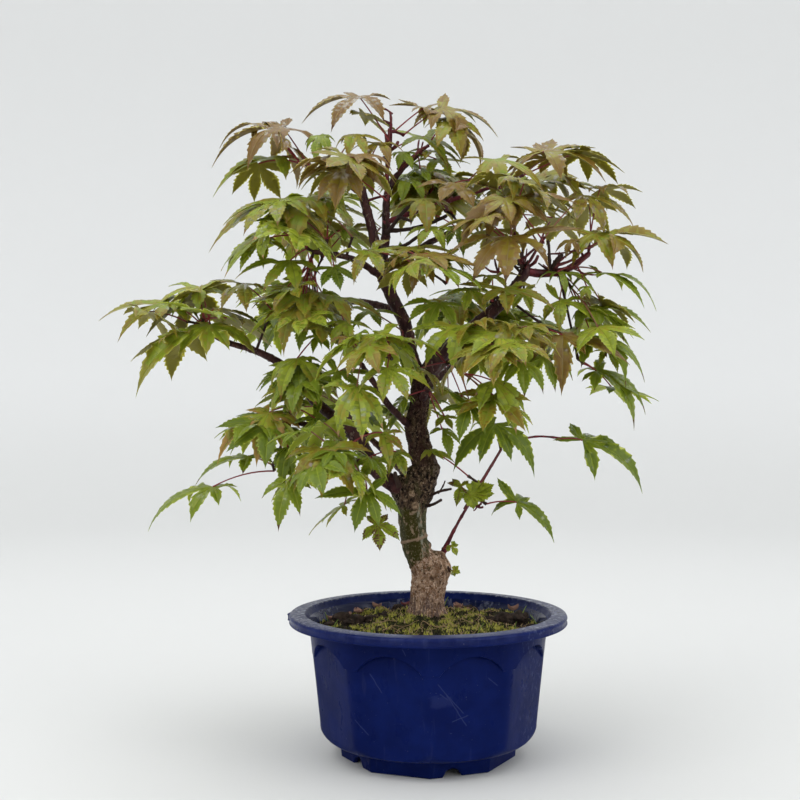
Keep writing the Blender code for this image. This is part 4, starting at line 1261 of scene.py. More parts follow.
def half_margin(junction, lobe, notch, widest, fold, turn, rng):
    """The saw-edged margin of one side of a lobe, from the junction by its notch to its tip."""
    share = (lobe.shares[PALM_STEPS + 1:] - lobe.sinus) / (1 - lobe.sinus)
    width = widest * lobe_width(share)
    start_width = np.linalg.norm(notch - lobe.spine[PALM_STEPS])
    width += (start_width - widest * lobe_width(0.0)) * (1 - share) ** 7
    teeth = np.where(np.arange(len(share)) % 2 == (0 if turn > 0 else 1), 1.0, -0.8)
    teeth *= TOOTH * np.array([rng.uniform(0.5, 1.4) for _ in share])
    teeth *= np.clip((1 - share) * 5, 0, 1)
    forward = np.maximum(teeth, 0) * 2.2 * width
    width = width * (1 + teeth)
    free = lobe.spine[PALM_STEPS + 1:] + lobe.side * (turn * width)[:, None]
    free += lobe.normal[PALM_STEPS + 1:] * (fold * width)[:, None]
    free += lobe.tangent[PALM_STEPS + 1:] * forward[:, None]
    free[-1] = lobe.spine[-1]
    ray = junction + (notch - junction) * (np.arange(PALM_STEPS + 1) / PALM_STEPS)[:, None]
    return np.concatenate([ray, free])


def blade_rows(junction, lobe, margin, face, rng):
    """Rows of points over half a lobe: the midrib, the midrib's edge, the middle and the margin
    on top, then the midrib, the middle and the margin underneath."""
    half, spine = LEAF_THICKNESS / 2, lobe.spine
    across = margin - spine
    span = np.linalg.norm(across, axis=1)
    rib = np.clip(RIB_WIDTH / (span + 1e-6), 0, 0.35)[:, None]
    puff = np.array([rng.uniform(0.0, 0.10) for _ in span]) * span
    inner = np.where(np.arange(len(span)) < PALM_STEPS, half, 0.0)[:, None]
    middle = spine + across * 0.55 + lobe.normal * puff[:, None]
    up = lobe.normal.copy()
    up[0] = face
    rows = [spine + up * (half - RIB_DEPTH), spine + across * rib + up * half, middle + up * half,
            margin + face * inner, spine - up * half, middle - up * half, margin - face * inner]
    for row in rows[:4]:
        row[0] = junction + face * (half - RIB_DEPTH)
    for row in rows[4:]:
        row[0] = junction - face * half
    for row in rows[:3] + rows[4:6]:
        row[-1] = spine[-1]
    return rows


# the rows of points that each strip of a blade joins, and which part of the leaf it is
STRIPS = ((0, 1, "rib"), (1, 2, "inner"), (2, 3, "outer"), (4, 5, "under"), (5, 6, "under"))


def make_leaf(junction, tips, face, plump, rng):
    """One leaf as a closed thin blade: points, quads and where each quad lies in it."""
    lobes = lay_lobes(junction, tips, face, rng)
    longest = max(lobe.length for lobe in lobes)
    points, quads, places = [], [], []
    for number, lobe in enumerate(lobes):
        widest = plump * LOBE_WIDTH * lobe.length * rng.uniform(0.88, 1.12)
        if lobe.length < 0.6 * longest:
            widest *= 1.15
        fold = rng.uniform(-0.10, 0.42)
        root = lobe.spine[PALM_STEPS]
        for turn in (-1, 1):
            if 0 <= number + turn < len(lobes):
                notch = (root + lobes[number + turn].spine[PALM_STEPS]) / 2
                notch = notch + (notch - junction) * 0.04
            else:
                notch = root + lobe.side * turn * widest * 0.55
            margin = half_margin(junction, lobe, notch, widest, fold, turn, rng)
            start, size = sum(len(row) for row in points), len(margin)
            points.extend(blade_rows(junction, lobe, margin, face, rng))
            for left, right, part in STRIPS:
                flip = (turn > 0) == (part == "under")
                for k in range(size - 1):
                    a, b = start + left * size + k, start + right * size + k
                    quad = (a, a + 1, b + 1, b)
                    quads.append(quad if flip else quad[::-1])
                    places.append((part, lobe.shares[k + 1]))
    return np.concatenate(points), quads, places


def dress_leaf(points, quads, places, dress, rng):
    """Chooses a tint for each quad of a leaf, in soft patches over the blade."""
    inner, main, outer, tip, under, rib = DRESSES[dress].split()
    shift = Vector((rng.uniform(0, 99), rng.uniform(0, 99), rng.uniform(0, 99)))
    bias = rng.uniform(-0.12, 0.12)
    burnt = rng.random() < 0.45
    wet = rng.uniform(-0.15, 0.45)
    tints = []
    for quad, (part, share) in zip(quads, places):
        if part == "under":
            tints.append(under)
            continue
        if part == "rib" and share < 0.8:
            tints.append(rib)
            continue
        where = Vector(points[quad[0]])
        patch = noise.noise(where / 9.0 + shift) + 0.5 * noise.noise(where / 3.5 + shift)
        level = 0.85 * share + (0.20 if part == "outer" else 0.0) + 0.50 * patch + bias
        level += rng.uniform(-0.24, 0.24)
        tint = inner if level < 0.28 else main if level < 0.66 else outer
        if burnt and share > 0.90:
            tint = tip
        elif noise.noise(where / 1.6 - shift) + rng.uniform(-0.2, 0.2) > 0.62 - wet:
            tint = FILMS.get(tint, tint)
        tints.append(tint)
    return tints


def merge_close(piece):
    """Merges the points that neighbouring strips of a blade share."""
    bm = bmesh.new()
    bm.from_mesh(piece.data)
    bmesh.ops.remove_doubles(bm, verts=bm.verts, dist=0.004 * MILLIMETRE)
    bm.to_mesh(piece.data)
    bm.free()
    piece.data.shade_smooth()
    piece.data.set_sharp_from_angle(angle=math.radians(75))


# the mixes of dresses that the leaves placed by seed wear
MIXES = {
    "top": "bronze olive turning copper turning bronze olive rose",
    "side": "turning olive olive fresh green bronze",
    "inner": "fresh green deep olive green deep",
    "low": "fresh green deep olive deep green",
    "light": "fresh lime olive lime turning lime",
}
# each pad's mix, its reach across, its depth from front to back, its height, and how many
# leaves are placed in it by seed besides the named ones
FOLIAGE = {name: row for name, *row in read_rows("""
    apex_left top -66,-18 -22,24 326,353 1
    apex_right top -16,38 -14,36 318,355 1
    top_front top -66,-16 -62,-8 290,325 5
    top_back side -24,30 8,66 287,322 13
    shoulder_left top -114,-56 -32,20 300,336 2
    upper_left light -106,-42 -52,16 251,298 6
    upper_back_left side -92,-28 16,86 256,311 10
    shoulder_right top 42,108 -10,36 303,332 2
    shoulder_right_low top 72,114 0,44 276,311 2
    upper_right_front top 8,67 -62,-2 251,310 8
    upper_right_back side 26,95 20,90 268,329 10
    right_tip top 82,112 -20,26 259,281 1
    right_tip_low light 74,104 -32,18 225,254 1
    centre_high side -29,22 -74,-12 243,269 8
    left_long_tip light -173,-132 -26,10 219,241 1
    left_long light -150,-86 -36,22 196,253 5
    left_middle light -90,-40 -46,22 209,258 14
    left_middle_back inner -111,-46 20,84 207,263 9
    centre_front inner -53,7 -82,-12 187,230 10
    left_inner_low inner -88,-46 -36,14 184,213 11
    right_middle_front light 2,67 -88,-14 194,237 12
    right_middle light 60,110 -40,32 203,246 3
    right_middle_low inner 75,118 -22,22 172,208 1
    right_low_front light 17,46 -64,-20 174,198 3
    right_inner_back inner -10,56 18,84 219,259 10
    back_right_low inner 22,88 30,92 200,248 8
    centre_back inner -26,36 6,60 145,202 8
    low_left low -106,-58 -44,14 153,186 5
    low_left_tip low -146,-84 -32,8 119,162 0
    low_left_front low -80,-21 -84,-20 122,184 10
    low_front inner -58,-14 -72,-24 113,148 2
    low_back_left inner -88,-14 22,92 147,206 10
    whip_crown inner 14,56 -28,14 146,180 0
    whip_far inner 66,116 -18,16 138,178 0
    whip_low inner 14,67 -20,14 113,149 0
    """)}

# leaves that set the outline or face the front: how each is dressed, how far its face leans
# to the front (0 level, 1 upright), the knuckle its stalk hangs from where that shows (or 0),
# its junction, then its lobes' tips
NAMED_LEAVES = {
    "left_middle": """
    turning .27 0 -66,-26,238 -86,-26,226 -74,-32,210 -62,-40,222 -51,-28,228
    olive .27 0 -50,-20,242 -67,-18,233 -57,-32,227 -40,-32,225 -23,-20,229
    deep .3 0 -65,-4,230 -74,-4,222 -68,-12,213 -56,-10,215 -50,-4,223
    fresh .31 0 -43,-26,229 -57,-26,222 -50,-36,213 -40,-38,214 -29,-26,224
    fresh .3 0 -68,-20,210 -82,-20,193 -76,-30,187 -56,-28,189 -55,-16,207
    green .34 0 -46,-30,203 -58,-30,197 -48,-42,194 -35,-42,194 -25,-30,200 -54,-22,212
    deep .37 0 -14,-14,217 -23,-14,210 -13,-20,202 -9,-14,209
    green .3 0 -31,-6,236 -44,-2,237 -40,-14,225 -25,-16,226 -14,-6,232
    green .34 0 -59,-2,223 -68,0,218 -61,-10,212 -52,-8,214 -48,0,222""",
    "top_back": """
    fresh .27 -19,2,323 -2,12,332 -25,16,336 -15,2,323 10,2,315 19,10,317 7,24,339
    olive .27 0 2,10,324 -11,10,323 11,2,312 18,10,314 -2,-2,316
    green .31 0 -4,10,314 -13,10,305 1,0,304 17,10,307 -10,18,320
    green .34 0 -11,8,309 -21,8,299 -14,-2,292 -2,0,293 7,8,302
    fresh .3 0 5,14,320 -10,18,316 0,6,308 13,6,308 24,18,318 7,24,327""",
    "apex_left": """
    ruddy .27 -21,-2,327 -37,0,351 -68,4,337 -51,-18,327 -23,-14,333 -20,8,351 -46,12,356""",
    "apex_right": """
    bronze .24 -13,4,331 7,6,346 38,6,330 27,20,341 19,-8,316 1,-12,329 -8,0,334 10,20,358
    rose .16 -18,0,332 -2,0,345 -21,0,346 -16,6,351 -9,-10,340 7,10,350
    olive .41 0 12,0,339 17,-14,314 4,-18,319 30,2,327 -2,6,335""",
    "shoulder_left": """
    ruddy .2 -61,-8,309 -77,-6,333 -115,-6,311 -94,-22,306 -57,-10,318 -90,8,339 -75,10,342 -78,-26,317
    fresh .33 -57,-8,310 -78,0,319 -116,4,297 -67,2,314 -75,-10,304
    copper .16 0 -89,2,337 -112,2,323 -105,6,334 -93,-6,325 -74,6,334""",
    "top_front": """
    green .37 0 -57,-14,327 -64,-14,318 -59,-22,310 -51,-22,313 -49,-10,324
    olive .33 0 -39,-12,328 -49,-10,320 -42,-24,312 -32,-22,313 -22,-10,322
    bronze .3 0 -26,-6,325 -41,-4,321 -33,-16,312 -20,-16,310 -13,-4,320
    green .33 0 -14,4,322 -21,6,318 -16,-4,310 -8,-4,310 -2,6,319
    ruddy .31 -21,-10,296 -33,-30,314 -51,-30,305 -42,-42,296 -28,-42,296 -19,-30,305
    rose .36 -22,-12,293 -43,-36,305 -67,-34,297 -22,-38,293 -47,-52,281 -56,-48,286 -34,-50,286""",
    "upper_left": """
    olive .34 -40,-12,274 -63,-22,293 -114,-22,264 -85,-34,270 -69,-42,260 -52,-34,277 -47,-14,291
    fresh .37 0 -52,-6,300 -58,-14,285 -51,-18,278 -44,-12,286 -40,-2,296
    lime .37 0 -88,-6,273 -107,-6,255 -99,-14,255 -86,-18,256 -74,-6,264
    deep .37 0 -44,0,281 -54,0,274 -44,-10,271 -36,0,275
    fresh .34 0 -72,-18,261 -101,-18,251 -85,-30,243 -67,-34,242 -56,-20,253
    deep .37 0 -49,-24,257 -62,-24,254 -55,-34,245 -45,-36,243 -37,-30,248 -40,-18,261""",
    "shoulder_right": """
    bronze .22 39,6,303 63,8,323 45,16,327 93,18,327 107,8,311 95,-2,304 70,-10,304 60,22,331 70,26,334""",
    "upper_right_front": """
    olive .26 22,0,306 35,-6,316 16,-6,316 25,-20,299 38,-22,295 61,-12,296 50,4,318
    rose .36 0 14,-14,302 -7,-14,299 5,-28,289 23,-30,286 40,-16,295
    ruddy .34 61,-8,272 41,-28,292 15,-34,263 28,-42,267 41,-52,271 60,-40,276 78,-22,289
    copper .3 0 40,-42,270 8,-42,260 20,-56,244 36,-62,244 59,-48,252 79,-34,275""",
    "shoulder_right_low": """
    bronze .33 62,-4,275 85,12,300 76,22,313 79,-2,283 95,4,275 113,12,281""",
    "right_tip": """
    olive .34 81,0,269 89,-4,277 128,-4,271 122,2,276 111,-10,265 96,-16,256 74,0,280
    copper .37 0 75,-8,273 67,-8,266 72,-12,262 79,-12,263 84,-6,271""",
    "right_tip_low": """
    fresh .37 0 83,-12,248 78,-12,245 79,-16,240 84,-16,240 87,-12,244
    green .27 0 68,-8,256 64,-8,250 72,-12,242 81,-12,254 89,-8,243
    green .22 79,-4,259 92,-6,256 121,-6,235 113,-14,236 86,2,261 88,-14,252""",
    "right_middle": """
    fresh .34 0 69,-10,241 62,-6,251 60,-14,229 67,-24,223 91,-12,223 86,-6,240
    green .27 0 86,-6,238 118,-6,224 102,-16,218 89,-20,225
    green .3 0 86,-10,222 103,-14,194 114,-10,197 92,-22,210
    fresh .3 0 95,-2,215 88,2,214 90,-10,206 100,-8,202 107,2,211
    copper .36 62,-20,225 69,-22,222 67,-32,190 79,-36,211 104,-22,206 53,-24,208
    green .37 0 59,-24,211 64,-32,192 74,-24,198 51,-32,197""",
    "left_long_tip": """
    olive .26 -120,-4,228 -138,-6,240 -175,-6,230 -162,-18,218 -156,2,240 -141,-20,229 -138,8,246 \
        -126,-14,229""",
    "left_long": """
    lime .24 -116,-4,229 -122,0,249 -149,0,232 -135,-12,231 -141,10,250 -121,-14,234 -107,0,242 \
        -110,10,253
    turning .26 -83,-4,236 -98,-8,250 -117,0,252 -108,-20,234 -94,-24,233 -85,-10,245
    fresh .37 0 -115,-12,228 -153,-16,189 -130,-20,211 -114,-28,211 -103,-22,214""",
    "low_left": """
    deep .34 0 -73,-24,164 -79,-26,152 -75,-32,142 -70,-30,145 -64,-24,156
    deep .38 0 -59,-22,179 -71,-22,175 -63,-30,164 -50,-30,167 -57,-14,192
    green .34 0 -71,-20,189 -81,-20,185 -75,-28,181 -60,-22,185
    yellow .36 -73,-16,185 -83,-18,182 -110,-20,154 -100,-26,166 -88,-32,154 -75,-30,163 -66,-22,173 \
        -96,-14,183
    fresh .36 0 -71,-20,196 -87,-20,189 -81,-30,182 -66,-34,180 -55,-20,187""",
    "low_left_tip": """
    green .25 -82,-10,154 -95,-10,159 -123,-10,143 -96,-24,150 -81,-12,155
    green .22 -81,-10,151 -113,-14,143 -147,-14,119 -123,-24,125 -108,-26,134 -100,-14,143""",
    "low_left_front": """
    green .41 0 -70,-44,148 -75,-50,123 -84,-44,139 -64,-52,131 -59,-44,144
    olive .37 0 -53,-62,165 -66,-68,144 -52,-74,141 -37,-70,142 -28,-60,163 -71,-60,159
    yellow .37 0 -24,-34,172 -13,-34,172 -13,-40,162 -20,-42,153 -33,-34,165""",
    "low_front": """
    green .4 0 -29,-36,159 -39,-36,153 -34,-44,145 -22,-44,146 -17,-36,154
    fresh .4 0 -17,-26,162 -26,-26,157 -21,-34,149 -12,-34,148 -8,-26,157
    deep .38 0 -31,-54,144 -57,-54,140 -37,-62,124 -25,-66,127 -14,-56,131 -22,-46,150 -38,-48,154
    dry .44 0 -26,-40,126 -21,-36,131 -15,-43,118 -25,-46,113 -34,-43,118 -32,-36,130 -19,-40,125""",
    "centre_front": """
    lime .34 -19,-40,209 -25,-54,221 -50,-54,208 -38,-66,201 -25,-70,200 -6,-56,206 -15,-44,226
    fresh .36 0 -21,-64,204 1,-64,192 -11,-74,187 -23,-76,187 -35,-66,192
    lime .36 0 -36,-58,195 -54,-54,194 -45,-62,169 -33,-70,168 -23,-64,173
    copper .37 0 -44,-44,220 -50,-44,216 -44,-48,212 -38,-44,215""",
    "centre_high": """
    turning .31 0 -2,-14,294 -18,-14,289 -10,-24,280 -1,-28,271 15,-14,285
    fresh .33 0 1,-22,278 -13,-22,271 -6,-32,265 8,-30,263 15,-22,272
    deep .34 0 15,6,282 3,6,277 10,-2,270 19,2,264 26,6,275
    olive .3 0 -10,-26,267 -26,-26,265 -18,-38,258 -1,-38,257 15,-26,262
    olive .36 0 -31,-42,263 -48,-38,260 -38,-48,245 -23,-54,248 -12,-42,260 -20,-30,270
    copper .37 0 -4,-38,258 -23,-38,251 -9,-42,241 2,-48,245 7,-36,257
    turning .37 9,-26,248 7,-36,260 -2,-34,255 9,-44,246 21,-36,255 16,-28,266
    fresh .37 0 21,-32,245 8,-32,241 17,-40,231 28,-40,231 33,-30,241
    green .34 0 -14,-10,266 -21,-10,261 -14,-18,255 -7,-10,261 -15,-4,273
    olive .3 0 33,-20,253 19,-18,249 27,-28,243 40,-26,245 48,-16,253""",
    "right_middle_front": """
    green .37 0 5,-34,238 -15,-34,235 -11,-42,227 -3,-46,219 13,-44,223 19,-34,235
    olive .34 0 38,-34,245 13,-32,247 25,-46,235 38,-50,230 64,-36,233 55,-26,246
    lime .36 0 15,-52,225 -12,-48,222 -3,-54,203 10,-64,201 24,-62,206 32,-52,217
    turning .36 0 37,-58,225 23,-56,219 32,-72,206 43,-70,205 60,-58,213
    green .37 0 46,-44,207 56,-48,191 46,-54,189 36,-48,195
    fresh .3 0 49,-14,244 39,-10,245 43,-22,234 53,-22,232 63,-12,238 57,-6,250""",
    "right_low_front": """
    fresh .37 0 8,-20,180 0,-20,184 3,-28,174 12,-28,173 17,-20,178
    green .37 0 7,-16,173 0,-16,170 11,-22,157 17,-16,164
    deep .37 0 -12,-16,190 -18,-16,187 -14,-20,179 -8,-16,186
    deep .38 0 20,-44,186 4,-44,182 9,-38,193 14,-52,167 27,-52,171 29,-44,184
    lime .37 0 31,-46,198 42,-54,171 47,-48,181 23,-58,181 22,-48,190 23,-36,216 40,-40,209""",
    "right_middle_low": """
    green .37 79,-8,210 89,-6,204 81,-8,198 86,-18,193 109,-6,172 116,-2,180 94,6,211""",
    "whip_crown": """
    fresh .37 0 1,-10,162 14,-10,155 8,-18,157 0,-14,158
    deep .37 0 35,-8,176 13,-8,150 26,-20,155 43,-18,156 56,-8,147 48,-2,170 34,2,180""",
    "whip_far": """
    deep .37 68,-4,167 82,-4,167 66,-4,167 77,8,176 102,0,164 114,-4,138 87,-14,146""",
    "whip_low": """
    deep .38 31,-3,133 47,-4,134 37,2,147 48,-10,125 67,-4,112 64,0,123
    young .46 0 22,-8,138 24,-5,145 30,-5,146 35,-8,144 35,-9,139 30,-11,135
    dry .44 0 18,2,142 10,2,144 13,6,146 15,-2,131 22,5,145
    young .44 8,-2,109 12,-8,111 10,-8,108 15,-9,106 16,-8,112 14,-7,114
    young .44 12,-2,97 13,-8,98 14,-8,95 17,-9,97 16,-8,101 14,-7,101""",
}

LEAF_SIZES, INNER_SIZES = (26, 40), (17, 30)
OVERHANG = 4.0                    # how far a lobe may reach out of its pad
INNER_PADS = ("top_front", "centre_high", "centre_front", "left_inner_low", "left_middle",
              "upper_right_front", "right_middle_front", "low_left_front", "low_front", "centre_back")
GOLDEN_TURN = math.pi * (3 - math.sqrt(5))


def front_face(lean):
    return unit(np.array([0.0, -lean, 1.0 - lean]))


def fill_leaf(ranges, number, count, sizes, rng):
    """A leaf placed by seed in a pad: further out, lower down and facing outward."""
    (x0, x1), (y0, y1), (z0, z1) = ranges
    size = rng.uniform(*sizes)
    turn = number * GOLDEN_TURN + rng.uniform(-0.4, 0.4)
    share = math.sqrt((number + 0.4) / count)
    outward = np.array([math.cos(turn), math.sin(turn), 0.0])
    room = np.array([max(3.0, (x1 - x0) / 2 - 0.55 * size), max(3.0, (y1 - y0) / 2 - 0.55 * size)])
    junction = np.array([(x0 + x1) / 2 + outward[0] * room[0] * share,
                         (y0 + y1) / 2 + outward[1] * room[1] * share,
                         z1 - 2 - (z1 - z0) * (0.25 * share ** 2 + rng.uniform(0.0, 0.35))])
    heading = turn + rng.uniform(-0.5, 0.5)
    face = unit(np.array([0, 0, 1.0]) + outward * rng.uniform(0.1, 0.75)
                + np.array([rng.gauss(0, 0.16), rng.gauss(0, 0.16), 0]))
    spread_angle = rng.uniform(0.62, 0.80)
    droop = rng.uniform(0.10, 0.45)
    lobes = rng.choice((2, 3, 3))
    middle = heading_of(np.array([math.cos(heading), math.sin(heading), 0]), face)
    tips = []
    for rank in range(-lobes, lobes + 1):
        length = size * (1.0, 0.93, 0.72, 0.42)[abs(rank)] * rng.uniform(0.9, 1.1)
        fall = droop * (0.75 + 0.12 * abs(rank)) + rng.uniform(-0.15, 0.15)
        out = across_blade(face, middle + rank * spread_angle)
        tip = junction + (out * math.cos(fall) - face * math.sin(fall)) * length
        tips.append(keep_inside(junction, tip, ranges))
    return junction, tips, face


def keep_inside(junction, tip, ranges):
    """Shortens a lobe that would reach out of its pad."""
    reach, share = tip - junction, 1.0
    for axis, (low, high) in enumerate(ranges):
        if reach[axis] > 0.01:
            share = min(share, (high + OVERHANG - junction[axis]) / reach[axis])
        elif reach[axis] < -0.01:
            share = min(share, (low - OVERHANG - junction[axis]) / reach[axis])
    return junction + reach * max(0.35, share)


def with_basal_lobes(junction, tips, face):
    """Adds the small lobes beside the petiole to a leaf that is given by its main tips."""
    tips = [np.array(tip) for tip in tips]
    headings = sorted(heading_of(tip - junction, face) for tip in tips)
    gaps = [(headings[(i + 1) % len(headings)] - headings[i]) % math.tau or math.tau
            for i in range(len(headings))]
    longest = max(np.linalg.norm(tip - junction) for tip in tips)
    widest = int(np.argmax(gaps))
    added = []
    for i, gap in enumerate(gaps):
        room = gap - (1.1 if i == widest else 0.0)
        count = max(0, int(room // 0.85) - (0 if i == widest else 1))
        step = room / (count + 1) if i != widest else min(0.8, room / max(1, count))
        for number in range(1, count + 1):
            near_start = number <= (count + 1) // 2
            if i == widest and not near_start:
                angle = headings[(i + 1) % len(headings)] - step * (count + 1 - number)
            else:
                angle = headings[i] + step * number
            rank = min(number, count + 1 - number)
            share = (0.55, 0.36, 0.26)[min(rank, 3) - 1] if i == widest else 0.62
            added.append(junction + (across_blade(face, angle) * 0.80 - face * 0.60) * longest * share)
    return tips + added


# ---- Twigs and leaf stalks -------------------------------------------------------------------
# Each pair or three of leaves hangs on long red stalks from the knuckle at a twig's tip. A twig
# grows from the nearest limb or older twig, so the nearest sprays are grown first.
TWIG_THICKNESS, STALK_THICKNESS = 1.45, 0.82
STALK_REACH = (17, 30)            # how far a knuckle lies back from its leaves
TOP_DROPS, LOW_DROPS = 46, 16     # how many places for a drop are tried on one leaf
SPRAY_SIZE = 3

twig_paint = [plain_material("twig_red", (0.085, 0.015, 0.018), 0.45),
              plain_material("twig_brown", (0.040, 0.019, 0.014), 0.6),
              plain_material("stalk_red", (0.240, 0.036, 0.040), 0.42),
              plain_material("stalk_pink", (0.230, 0.095, 0.055), 0.45)]


def limb_points(pad):
    """The limbs that a pad's twigs may grow from: the low shoot bears only its own leaves."""
    low = pad.startswith("whip")
    points = [station[:3] for name, stations in limb_stations.items()
              if name.startswith("whip") == low for station in stations]
    if not low:
        points += [station[:3] for station in smooth_route(TRUNK_ROUTE, 2.0)
                   if 135 < station[2] < 204]
    return points


def bent_rod(start, end, rise, thickness, steps, sides, knuckle=0.0):
    """A closed rod from start to end that bows upwards, swollen at its tip by a knuckle."""
    reach = np.linalg.norm(end - start)
    control = (start + end) / 2 + np.array([0, 0, rise * reach])
    t = (np.arange(steps + 1) / steps)[:, None]
    centres = (1 - t) ** 2 * start + 2 * t * (1 - t) * control + t * t * end
    radii = thickness / 2 * (1.15 - 0.35 * t[:, 0])
    if knuckle:
        away = (1 - t[:, 0]) * reach
        radii = radii + knuckle * np.exp(-(away / 1.4) ** 2)
    rings, _ = tube_rings(centres, radii, sides, (0.37, -0.61, 0.53))
    return capped_tube(rings), centres


def nearest_wood(point, wood):
    away = np.linalg.norm(wood - point, axis=1)
    return wood[int(np.argmin(away))], float(away.min())


def group_sprays(leaves):
    """Groups the leaves of a pad into sprays of neighbours."""
    sprays = [[leaf] for leaf in leaves if leaf[4]]
    left = [leaf for leaf in leaves if not leaf[4]]
    while left:
        first = left.pop(0)
        left.sort(key=lambda leaf: np.linalg.norm(leaf[0] - first[0]))
        spray = [first]
        while left and len(spray) < SPRAY_SIZE and np.linalg.norm(left[0][0] - first[0]) < 30:
            spray.append(left.pop(0))
        sprays.append(spray)
    return sprays


def grow_spray(spray, wood, rng, young):
    """The twig, knuckle and stalks of one spray. The twig's own points join the wood."""
    middle = sum(leaf[0] for leaf in spray) / len(spray)
    foot, away = nearest_wood(middle - np.array([0, 0, 4.0]), wood)
    back = min(rng.uniform(*STALK_REACH), 0.8 * away)
    knuckle = middle + unit(foot - middle) * back
    if spray[0][4]:
        knuckle = np.array(spray[0][4], float)
        foot, _ = nearest_wood(knuckle, wood)
    parts, tints = [], []
    if np.linalg.norm(knuckle - foot) > 2.0:
        twig, centres = bent_rod(foot, knuckle, rng.uniform(-0.02, 0.12), TWIG_THICKNESS, 10, 7, 0.45)
        parts.append(twig)
        tints += [0 if young else 1] * len(twig[1])
        wood.extend(centres[2:])
    for junction, *_ in spray:
        tint = 3 if rng.random() < 0.3 else 2
        stalk, _ = bent_rod(knuckle, junction, rng.uniform(0.02, 0.20), STALK_THICKNESS, 8, 5, 0.12)
        parts.append(stalk)
        tints += [tint] * len(stalk[1])
    return parts, tints


def pad_leaves(name, rng):
    """A pad's named leaves first, then as many by seed as its plan has room for."""
    mix, *ranges, count = FOLIAGE[name]
    leaves = []
    for dress, lean, knuckle, junction, *tips in read_rows(NAMED_LEAVES.get(name, "")):
        junction, face = np.array(junction, float), front_face(lean)
        leaves.append((junction, with_basal_lobes(junction, tips, face), face, dress, knuckle))
    sizes = INNER_SIZES if name in INNER_PADS else LEAF_SIZES
    for number in range(int(count)):
        junction, tips, face = fill_leaf(ranges, number, count, sizes, rng)
        leaves.append((junction, tips, face, rng.choice(MIXES[mix].split()), None))
    return leaves


def make_pad(name):
    rng = random.Random("leaves of " + name)
    leaves = pad_leaves(name, rng)
    on_top = FOLIAGE[name][0] == "top"
    drops = TOP_DROPS if on_top else LOW_DROPS
    parts, tints = [], []
    for junction, tips, face, dress, _ in leaves:
        points, quads, places = make_leaf(junction, tips, face, PLUMP.get(dress, 1.0), rng)
        parts.append((points, quads))
        wet_leaves.append((points, quads, places, drops))
        tints += dress_leaf(points, quads, places, dress, rng)
    used = sorted(set(tints))
    points, faces = join_parts(parts)
    blades = make_mesh("leaves_" + name, points, faces, [leaf_paint[tint] for tint in used],
                       [used.index(tint) for tint in tints])
    merge_close(blades)
    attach(blades, "root")
    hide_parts("foliage_" + name)
    wood = limb_points(name)
    parts, tints = [], []
    sprays = group_sprays(leaves)
    middles = [sum(leaf[0] for leaf in spray) / len(spray) for spray in sprays]
    order = sorted(range(len(sprays)), key=lambda i: nearest_wood(middles[i], np.array(wood))[1])
    for index in order:
        grown, colours = grow_spray(sprays[index], wood, rng, on_top)
        parts += grown
        tints += colours
    points, faces = join_parts(parts)
    twigs = turn_outward(make_mesh("twigs_" + name, points, faces, twig_paint, tints))
    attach(twigs, "root")


wet_leaves = []                   # each leaf and how many drops are tried on it, for the rain
for name in FOLIAGE:
    make_pad(name)


